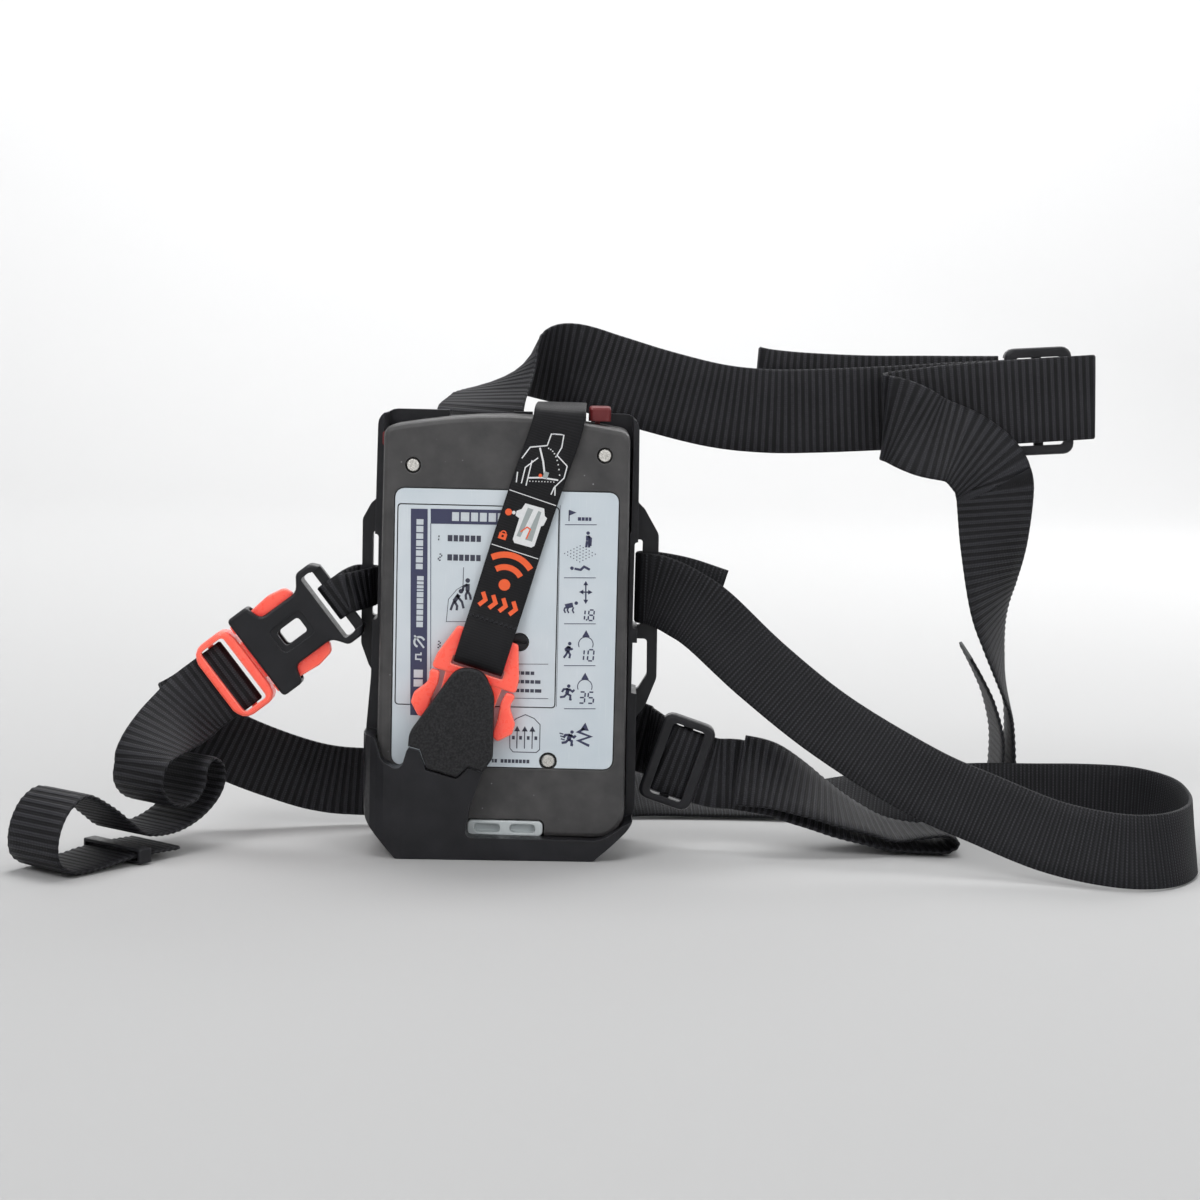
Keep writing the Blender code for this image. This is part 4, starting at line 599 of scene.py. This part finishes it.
def stroke(points, width):
    """A line of even width through the points, mitred at each turn."""
    path = [Vector(p) for p in points]
    left, right = [], []
    for i, here in enumerate(path):
        before = (here - path[i - 1]).normalized() if i else (path[1] - here).normalized()
        after = (path[i + 1] - here).normalized() if i + 1 < len(path) else before
        along = (before + after).normalized() if (before + after).length > 0.2 else before
        side = Vector((-along.y, along.x)) * width / 2 / max(0.5, along.dot(before))
        left.append(tuple(here + side))
        right.append(tuple(here - side))
    return [[left[i], left[i + 1], right[i + 1], right[i]] for i in range(len(path) - 1)]


def arc(a, b, radius, start, end, width, steps=14):
    turns = [math.radians(start + (end - start) * i / steps) for i in range(steps + 1)]
    return stroke([(a + radius * math.cos(t), b + radius * math.sin(t)) for t in turns], width)


def arrow_head(a, b, size, degrees):
    turn = math.radians(degrees)
    ahead, side = (math.cos(turn), math.sin(turn)), (-math.sin(turn), math.cos(turn))
    return [[(a + ahead[0] * size, b + ahead[1] * size),
             (a + side[0] * size * 0.55, b + side[1] * size * 0.55),
             (a - side[0] * size * 0.55, b - side[1] * size * 0.55)]]


SEGMENTS = {"0": "abcdef", "1": "ef", "2": "abged", "3": "abgcd", "5": "afgcd", "8": "abcdefg"}


def digit(character, a, b, height, width=0.40):
    """A seven-segment digit with its lower left corner at (a, b)."""
    wide, half, cut = height * 0.5, height / 2, width * 0.55
    lines = {"a": ((0, height), (wide, height)), "b": ((wide, height), (wide, half)),
             "c": ((wide, half), (wide, 0)), "d": ((0, 0), (wide, 0)), "e": ((0, 0), (0, half)),
             "f": ((0, half), (0, height)), "g": ((0, half), (wide, half))}
    shapes = []
    for key in SEGMENTS[character]:
        (p, q), (r, s) = lines[key]
        flat = q == s
        ends = ((p + cut, q), (r - cut, s)) if flat else ((p, max(q, s) - cut), (r, min(q, s) + cut))
        shapes += stroke([(a + u + v * 0.08, b + v) for u, v in ends], width)
    return shapes


def number(text, a, b, height):
    shapes = []
    for character in text:
        if character == ".":
            shapes += disc(a - height * 0.14, b + 0.15, 0.24, 10)
            continue
        shapes += digit(character, a, b, height)
        a += height * (0.36 if character == "1" else 0.78)
    return shapes


def word(a, b, lengths, height, gap=0.35, upright=False):
    """A stand-in for a line of text: short blocks in place of letters."""
    shapes = []
    for length in lengths:
        ends = (a, b, a + length, b + height)
        shapes += bar(b, a, b + height, a + length) if upright else bar(*ends)
        a += length + gap
    return shapes


def person(a, b, size, limbs, lean=0.0, line=0.13):
    """A small figure: head, trunk and limbs. Limbs are lists of points in units of its height."""
    neck = (a + size * lean * 0.62, b + size * 0.74)
    hip = (a, b + size * 0.42)
    shapes = disc(neck[0] + size * lean * 0.25, b + size * 0.90, size * 0.11, 12)
    shapes += stroke([neck, hip], size * line * 1.5)
    for limb in limbs:
        shapes += stroke([(a + u * size, b + v * size) for u, v in limb], size * line * 0.85)
    return shapes


WALKING = ([(0, 0.45), (0.14, 0.22), (0.10, 0.0)], [(0, 0.45), (-0.10, 0.22), (-0.24, 0.02)],
           [(0.02, 0.72), (0.20, 0.55), (0.30, 0.60)], [(0.02, 0.72), (-0.14, 0.56), (-0.10, 0.42)])
RUNNING = ([(0, 0.42), (0.22, 0.32), (0.20, 0.08), (0.30, 0.06)], [(0, 0.42), (-0.16, 0.24), (-0.42, 0.20)],
           [(0.12, 0.72), (0.34, 0.56), (0.46, 0.68)], [(0.10, 0.72), (-0.20, 0.70), (-0.30, 0.52)])


def print_layer(name, shapes, place, finish, lift=0, thickness=PRINT):
    """Flat shapes in millimetres turned into one thin printed layer. place maps them into the frame."""
    bm = bmesh.new()
    low, high = lift * PRINT, lift * PRINT + thickness
    for outline in shapes:
        under = [bm.verts.new(place(a * MM, b * MM, low)) for a, b in outline]
        over = [bm.verts.new(place(a * MM, b * MM, high)) for a, b in outline]
        bm.faces.new(over)
        bm.faces.new(under[::-1])
        for i in range(len(outline)):
            j = (i + 1) % len(outline)
            bm.faces.new((under[i], under[j], over[j], over[i]))
    bmesh.ops.recalc_face_normals(bm, faces=bm.faces)
    mesh = bpy.data.meshes.new(name)
    bm.to_mesh(mesh)
    bm.free()
    mesh.materials.append(finish)
    made = bpy.data.objects.new(name, mesh)
    bpy.context.collection.objects.link(made)
    return made


# ---------------------------------------------------------------- label prints
def on_label(a, b, lift):
    return Vector((a, LABEL_FACE - 0.00001 - lift, b))


def right_column():
    """Search steps from near to far: flag, probing, three distances with their figures, signal."""
    shapes = stroke([(17.4, 96.7), (17.4, 93.7)], 0.3)
    shapes += [[(17.4, 96.8), (19.4, 96.1), (17.4, 95.2)]]
    shapes += word(19.8, 93.9, (0.9, 0.8, 0.8, 0.7), 0.95, 0.17)
    for a, b in ((16.3, 92.7), (16.4, 78.1), (16.7, 65.4), (16.9, 53.8), (17.2, 41.8)):
        shapes += stroke([(a, b), (a + 8.7, b + 0.2)], 0.2)
    shapes += person(22.7, 86.6, 4.4, ([(-0.06, 0.40), (-0.10, 0.0)], [(0.06, 0.42), (0.08, 0.0)],
                                       [(0, 0.7), (0.18, 0.56), (0.16, 0.1)]), line=0.17)
    for row in range(6):
        for column in range(6):
            shapes += disc(20.6 + (column - row) * 0.84, 87.0 - (column + row) * 0.44, 0.17, 8)
    shapes += disc(18.5, 80.8, 0.5, 12)
    shapes += stroke([(19.2, 80.7), (20.9, 80.4), (21.8, 81.3), (23.4, 80.5)], 0.65)
    shapes += stroke([(22.4, 76.6), (22.5, 71.8)], 0.36) + stroke([(21.3, 74.3), (23.6, 74.3)], 0.36)
    for a, b, degrees in ((22.4, 76.2, 90), (22.5, 72.2, 270), (21.8, 74.3, 180), (23.1, 74.3, 0)):
        shapes += arrow_head(a, b, 1.2, degrees)
    shapes += stroke([(16.9, 70.2), (19.0, 70.7)], 1.3) + disc(19.9, 71.2, 0.5, 12)
    for a in (16.9, 17.8, 19.2):
        shapes += stroke([(a, 70.0), (a - 0.3, 69.2), (a + 0.1, 68.4)], 0.42)
    shapes += number("1.8", 22.2, 66.5, 2.9)
    for base, figure, text in ((59.9, WALKING, "10"), (48.1, RUNNING, "35")):
        shapes += arc(22.8, base, 2.0, -25, 205, 0.24, 20) + arrow_head(22.8, base + 2.0, 1.9, 90)
        shapes += number(text, 21.2 if text == "35" else 22.2, base - 4.6, 3.1)
        shapes += person(17.9, base - 4.0, 4.5, figure, lean=0.12, line=0.15)
    shapes += person(18.6, 31.4, 4.4, RUNNING, lean=0.25, line=0.18)
    for k in range(3):
        shapes += stroke([(16.1 + 0.2 * k, 35.0 - 0.8 * k), (17.2 + 0.2 * k, 34.7 - 0.8 * k)], 0.34)
    shapes += stroke([(23.0, 36.4), (21.3, 35.4), (24.7, 34.2), (21.4, 33.0), (24.4, 31.6)], 0.72)
    shapes += arrow_head(23.0, 35.9, 2.2, 85)
    return shapes


def instructions():
    """Numbered lines as blocks, the digging pictogram, the switch table and the drop icon."""
    shapes = []
    for text, b, lengths in (("1", 87.4, (1.3, 1.2, 1.3, 1.2, 1.3, 1.2)),
                             ("2", 82.1, (1.3, 1.3, 1.2, 1.2, 1.3, 1.2)),
                             ("3", 58.0, (1.0, 1.2))):
        shapes += digit(text, -18.2, b, 1.7, 0.34)
        shapes += word(-15.7, b, lengths, 1.7, 0.32)
    shapes += person(-13.6, 68.4, 5.9, ([(0, 0.44), (-0.10, 0.2), (-0.16, 0)],
                                        [(0, 0.44), (0.14, 0.2), (0.12, 0)],
                                        [(0.10, 0.72), (0.36, 0.40), (0.44, 0.10)]), lean=0.35)
    shapes += person(-10.0, 71.4, 5.9, ([(0, 0.44), (-0.08, 0.2), (-0.06, 0)],
                                        [(0, 0.44), (0.12, 0.2), (0.16, 0)],
                                        [(0, 0.72), (-0.20, 0.60), (-0.22, 0.40)]))
    shapes += stroke([(-11.2, 80.3), (-11.3, 74.0)], 0.18)
    shapes += stroke([(-15.7, 65.2), (-15.2, 71.4), (-12.9, 74.2), (-10.6, 75.6)], 0.15)
    shapes += stroke([(-15.8, 65.2), (-8.6, 65.4)], 0.15)
    shapes += stroke([(2.4, 53.9), (12.6, 54.1)], 0.15) + stroke([(2.0, 44.4), (12.8, 44.5)], 0.15)
    for b, lengths in ((51.0, (1.2, 1.0, 1.2, 1.0)), (48.6, (1.2, 1.0, 1.2, 1.0, 1.5)),
                       (46.1, (1.2, 1.0, 1.2, 1.0, 1.8))):
        shapes += word(3.6, b, lengths, 0.95, 0.26)
    outline = [(2.5, 30.4), (2.3, 36.9), (4.0, 38.7), (6.6, 39.9), (9.0, 38.9), (10.7, 37.2), (10.7, 30.2),
               (9.8, 29.4), (3.4, 29.4), (2.5, 30.4)]
    shapes += stroke(outline, 0.22)
    for a in (4.4, 6.5, 8.6):
        shapes += stroke([(a, 30.4), (a, 35.8)], 0.28) + arrow_head(a, 35.2, 1.5, 90)
    for a in (3.4, 5.4, 7.5, 9.6):
        shapes += bar(a - 0.38, 32.9, a + 0.38, 33.9)
    shapes += word(-2.4, 26.3, (0.5, 0.7), 1.0, 0.2) + word(0.0, 26.3, (0.8,) * 8, 1.0, 0.22)
    shapes += stroke([(14.9, 98.0), (15.0, 80.0), (15.1, 42.4)], 0.13)
    return shapes


def label_prints():
    navy = [[(-25.9, 96.1), (-21.3, 96.1), (-20.6, 39.0), (-25.2, 39.0)]]
    navy += [[(-20.5, 96.2), (12.4, 96.4), (12.4, 92.3), (-20.4, 92.1)]]
    navy += stroke([(-20.4, 92.2), (-19.9, 60.0), (-19.5, 42.0)], 0.18)
    pale = word(-14.6, 93.0, (1.9, 2.3, 1.9, 1.9, 2.0, 2.0), 2.4, 0.5)
    pale += word(79.5, -24.3, (1.5, 1.5, 1.5, 0.5, 1.6, 1.5, 1.7, 1.5), 1.9, 0.35, True)
    pale += word(63.5, -23.9, (1.5, 1.4, 1.3, 1.3, 1.4, 1.4, 0.5, 0.8, 0.8, 1.2), 1.8, 0.28, True)
    pale += arc(-23.0, 59.4, 1.4, 20, 250, 0.55) + stroke([(-24.4, 61.2), (-21.7, 57.8)], 0.5)
    pale += stroke([(-22.5, 56.5), (-22.5, 55.9), (-23.9, 55.9), (-23.9, 54.6), (-22.5, 54.6),
                    (-22.5, 54.0)], 0.4)
    pale += word(47.0, -24.4, (2.0, 2.2), 2.5, 0.5, True)
    layers = (("label_print_navy", navy, NAVY, 0), ("label_print_pale", pale, PALE_INK, 1),
              ("label_print_column", right_column(), NAVY, 0), ("label_print_lines", instructions(), INK, 0))
    for name, shapes, finish, lift in layers:
        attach(print_layer(name, shapes, on_label, finish, lift), ROOT)


# ---------------------------------------------------------------- retainer strap prints
def retainer_place():
    """Maps (across, up) on the strap's front, measured from a point at mid strap, into the frame."""
    front = [(c, e, n) for _, c, e, n in sections(RETAINER_ROUTE[RETAINER_FRONT], 0.0005)]
    mid, up = Vector((0.0040, -0.0154, 0.0890)), Vector((0.287, 0, 0.958))
    heights = [(c - mid).dot(up) for c, _, _ in front]

    def place(a, b, lift):
        i = min(range(1, len(heights)), key=lambda k: abs(heights[k] - b))
        centre, edge, normal = front[i]
        outward = normal if normal.y < 0 else -normal
        return centre + up * (b - heights[i]) + edge * a + outward * (RETAINER_WEB / 2 + 0.00003 + lift)
    return place


def retainer_prints():
    place = retainer_place()
    thin = 0.32
    white = stroke([(-1.0, 26.2), (-0.9, 29.6), (2.4, 30.4), (2.9, 27.0), (2.4, 24.6), (6.0, 22.8)], thin)
    white += stroke([(-1.0, 26.2), (-5.2, 24.2), (-6.3, 20.6)], thin)
    white += stroke([(-2.2, 22.2), (-4.6, 18.6), (-4.2, 14.2)], thin)
    white += stroke([(-3.5, 21.0), (-2.8, 14.0)], thin)
    white += stroke([(-6.2, 16.8), (-5.6, 14.0)], thin)
    white += stroke([(-2.7, 25.0), (-0.6, 21.8), (0.9, 18.8)], 0.5)
    white += stroke([(6.0, 22.8), (6.3, 19.4), (4.6, 16.0), (4.4, 13.9)], thin)
    white += stroke([(4.7, 16.6), (5.5, 14.0)], thin) + stroke([(-3.0, 16.2), (0.6, 17.5), (5.0, 18.3)], 0.45)
    for k in range(9):
        white += disc(-0.4 + 0.66 * k, 25.6 - 0.035 * k * k * 2.6, 0.2, 8)
        white += disc(-2.2 + 0.78 * k, 15.5 + 0.24 * k, 0.17, 8)
    white += stroke([(-6.7, 11.5), (6.7, 11.5)], 0.22) + stroke([(-6.7, -4.0), (6.7, -4.0)], 0.22)
    white += [[(-1.4, 9.4), (3.9, 9.7), (4.7, 7.8), (5.5, 7.4), (5.2, 5.2), (4.6, 4.8), (4.6, -0.9),
               (3.9, -1.6), (-0.9, -1.8), (-1.6, -1.0), (-1.7, 5.0), (-2.9, 5.4), (-3.0, 6.7), (-1.9, 7.6)]]
    white += disc(-3.6, 6.0, 0.5, 12)
    grey = [[(-0.4, 8.5), (1.2, 8.5), (0.2, 0.2), (-0.9, 0.2)],
            [(2.6, 8.6), (3.5, 8.5), (3.6, 0.0), (1.6, 0.0)]]
    grey += bar(0.7, 17.6, 2.0, 19.4)
    orange = disc(-5.0, 5.7, 0.95, 14) + disc(0.0, 17.9, 0.5, 12)
    orange += stroke([(-0.2, 1.6), (1.1, 3.4), (2.1, 3.1), (1.9, 0.3)], 0.35)
    orange += bar(-5.6, -1.9, -3.4, -0.2) + arc(-4.5, -0.3, 0.7, 0, 180, 0.32)
    orange += arc(0.0, -13.6, 8.3, 48, 132, 1.7) + arc(0.0, -13.6, 4.9, 44, 136, 1.6) + disc(0.0, -13.6, 1.6)
    for k in range(4):
        orange += stroke([(-5.0 + 2.9 * k, -17.2), (-3.7 + 2.9 * k, -19.1), (-5.0 + 2.9 * k, -21.0)], 1.15)
    dark = bar(-4.8, -1.3, -4.2, -0.7)
    layers = (("strap_print_white", white, WHITE_INK, 0), ("strap_print_grey", grey, GREY_INK, 1),
              ("strap_print_orange", orange, ORANGE_INK, 2), ("strap_print_dark", dark, RIBBON, 3))
    for name, shapes, finish, lift in layers:
        blend_retainer(print_layer(name, shapes, place, finish, lift))
    seam = []
    for k in range(10):
        seam += stroke([(-6.6 + k * 1.38, -24.4), (-5.5 + k * 1.38, -23.7)], 0.52)
    blend_retainer(print_layer("retainer_stitches", seam, place, THREAD, 0, STITCH))


# ---------------------------------------------------------------- camera, floor and light
LENS, SENSOR = 69.9, 36.0              # millimetres
CAMERA_AT, CAMERA_DOWN, CAMERA_ROLL = (0.0264, -0.650, 0.1413), 6.2, 1.4
WORLD_COLOUR, WORLD_STRENGTH = (0.95, 0.97, 1.0, 1), 0.25
PALEST = 0.93                          # highest share of light the backdrop gives back


def studio():
    camera = bpy.data.objects.new("camera", bpy.data.cameras.new("camera"))
    camera.data.lens, camera.data.sensor_width = LENS, SENSOR
    camera.data.clip_start = 0.01
    tilt = Matrix.Rotation(math.radians(90 - CAMERA_DOWN), 4, "X")
    tilt = tilt @ Matrix.Rotation(math.radians(CAMERA_ROLL), 4, "Z")
    camera.matrix_world = Matrix.Translation(CAMERA_AT) @ tilt
    bpy.context.collection.objects.link(camera)
    bpy.context.scene.camera = camera

    near, far, radius, half, height = -2.0, 1.4, 0.9, 30.0, 3.5
    bend = [math.pi / 2 * k / 16 for k in range(17)]
    profile = [(near - radius, height)]
    profile += [(near - radius * math.sin(t), radius - radius * math.cos(t)) for t in reversed(bend)]
    profile += [(far + radius * math.sin(t), radius - radius * math.cos(t)) for t in bend]
    profile.append((far + radius, height))
    bm = bmesh.new()
    rows = [[bm.verts.new((side, y, z - 0.0001)) for side in (-half, half)] for y, z in profile]
    for one, two in zip(rows, rows[1:]):
        bm.faces.new((one[0], one[1], two[1], two[0]))
    mesh = bpy.data.meshes.new("backdrop")
    bm.to_mesh(mesh)
    bm.free()
    mesh.shade_smooth()
    paper = Finish("backdrop_paper", (0.5, 0.5, 0.5), 0.9, Specular_IOR_Level=0.1)
    place = paper.add("SeparateXYZ", {0: paper.place()})
    # Painted light and shade on the backdrop: its colour is darker near the object and at floor level, and
    # grows paler further back and higher up.
    deep = paper.spread(place.outputs[1], -1.0, 2.5, 0.34, 0.725)
    tall = paper.spread(place.outputs[2], 0.0, 1.5, 0.0, 0.42)
    # Painted light: paler again behind the camera and far to the sides, where the lamps don't reach.
    back = paper.spread(place.outputs[1], -0.3, -1.8, 0.0, 0.52)
    side = paper.spread(paper.math("ABSOLUTE", place.outputs[0], 0.0), 0.8, 2.2, 0.0, 0.42)
    tone = paper.math("ADD", paper.math("ADD", deep, tall), paper.math("ADD", back, side))
    paper.colour(paper.blend(paper.math("MINIMUM", tone, PALEST), (0, 0, 0), (1, 1, 1)))
    mesh.materials.append(paper.material)
    floor = bpy.data.objects.new("backdrop", mesh)
    bpy.context.collection.objects.link(floor)

    middle = (0.03, 0.0, 0.06)
    lamps = (("key", (-0.9, -1.2, 1.5), 1.0, 17, middle), ("fill", (1.3, -1.0, 0.9), 1.2, 8, middle),
             ("top", (0.1, 0.3, 1.7), 1.4, 11, middle), ("rim", (0.9, 1.0, 0.9), 0.8, 7, middle),
             ("far_wall", (0.0, 0.9, 2.2), 1.6, 36, (0.03, 1.9, 0.9)),
             ("near_wall", (0.0, -1.4, 2.2), 1.6, 20, (0.0, -2.9, 1.3)))
    for name, spot, size, power, target in lamps:
        light = bpy.data.lights.new(name, "AREA")
        light.shape, light.size, light.energy = "DISK", size, power
        lamp = bpy.data.objects.new(name, light)
        lamp.location = spot
        lamp.rotation_euler = (Vector(target) - lamp.location).to_track_quat("-Z", "Y").to_euler()
        bpy.context.collection.objects.link(lamp)
    world = bpy.data.worlds.new("studio")
    world.use_nodes = True
    world.node_tree.nodes["Background"].inputs["Color"].default_value = WORLD_COLOUR
    world.node_tree.nodes["Background"].inputs["Strength"].default_value = WORLD_STRENGTH
    bpy.context.scene.world = world
    bpy.context.scene.view_settings.view_transform = "Standard"


studio()
straps()
paint_cad()
label_prints()
retainer_prints()
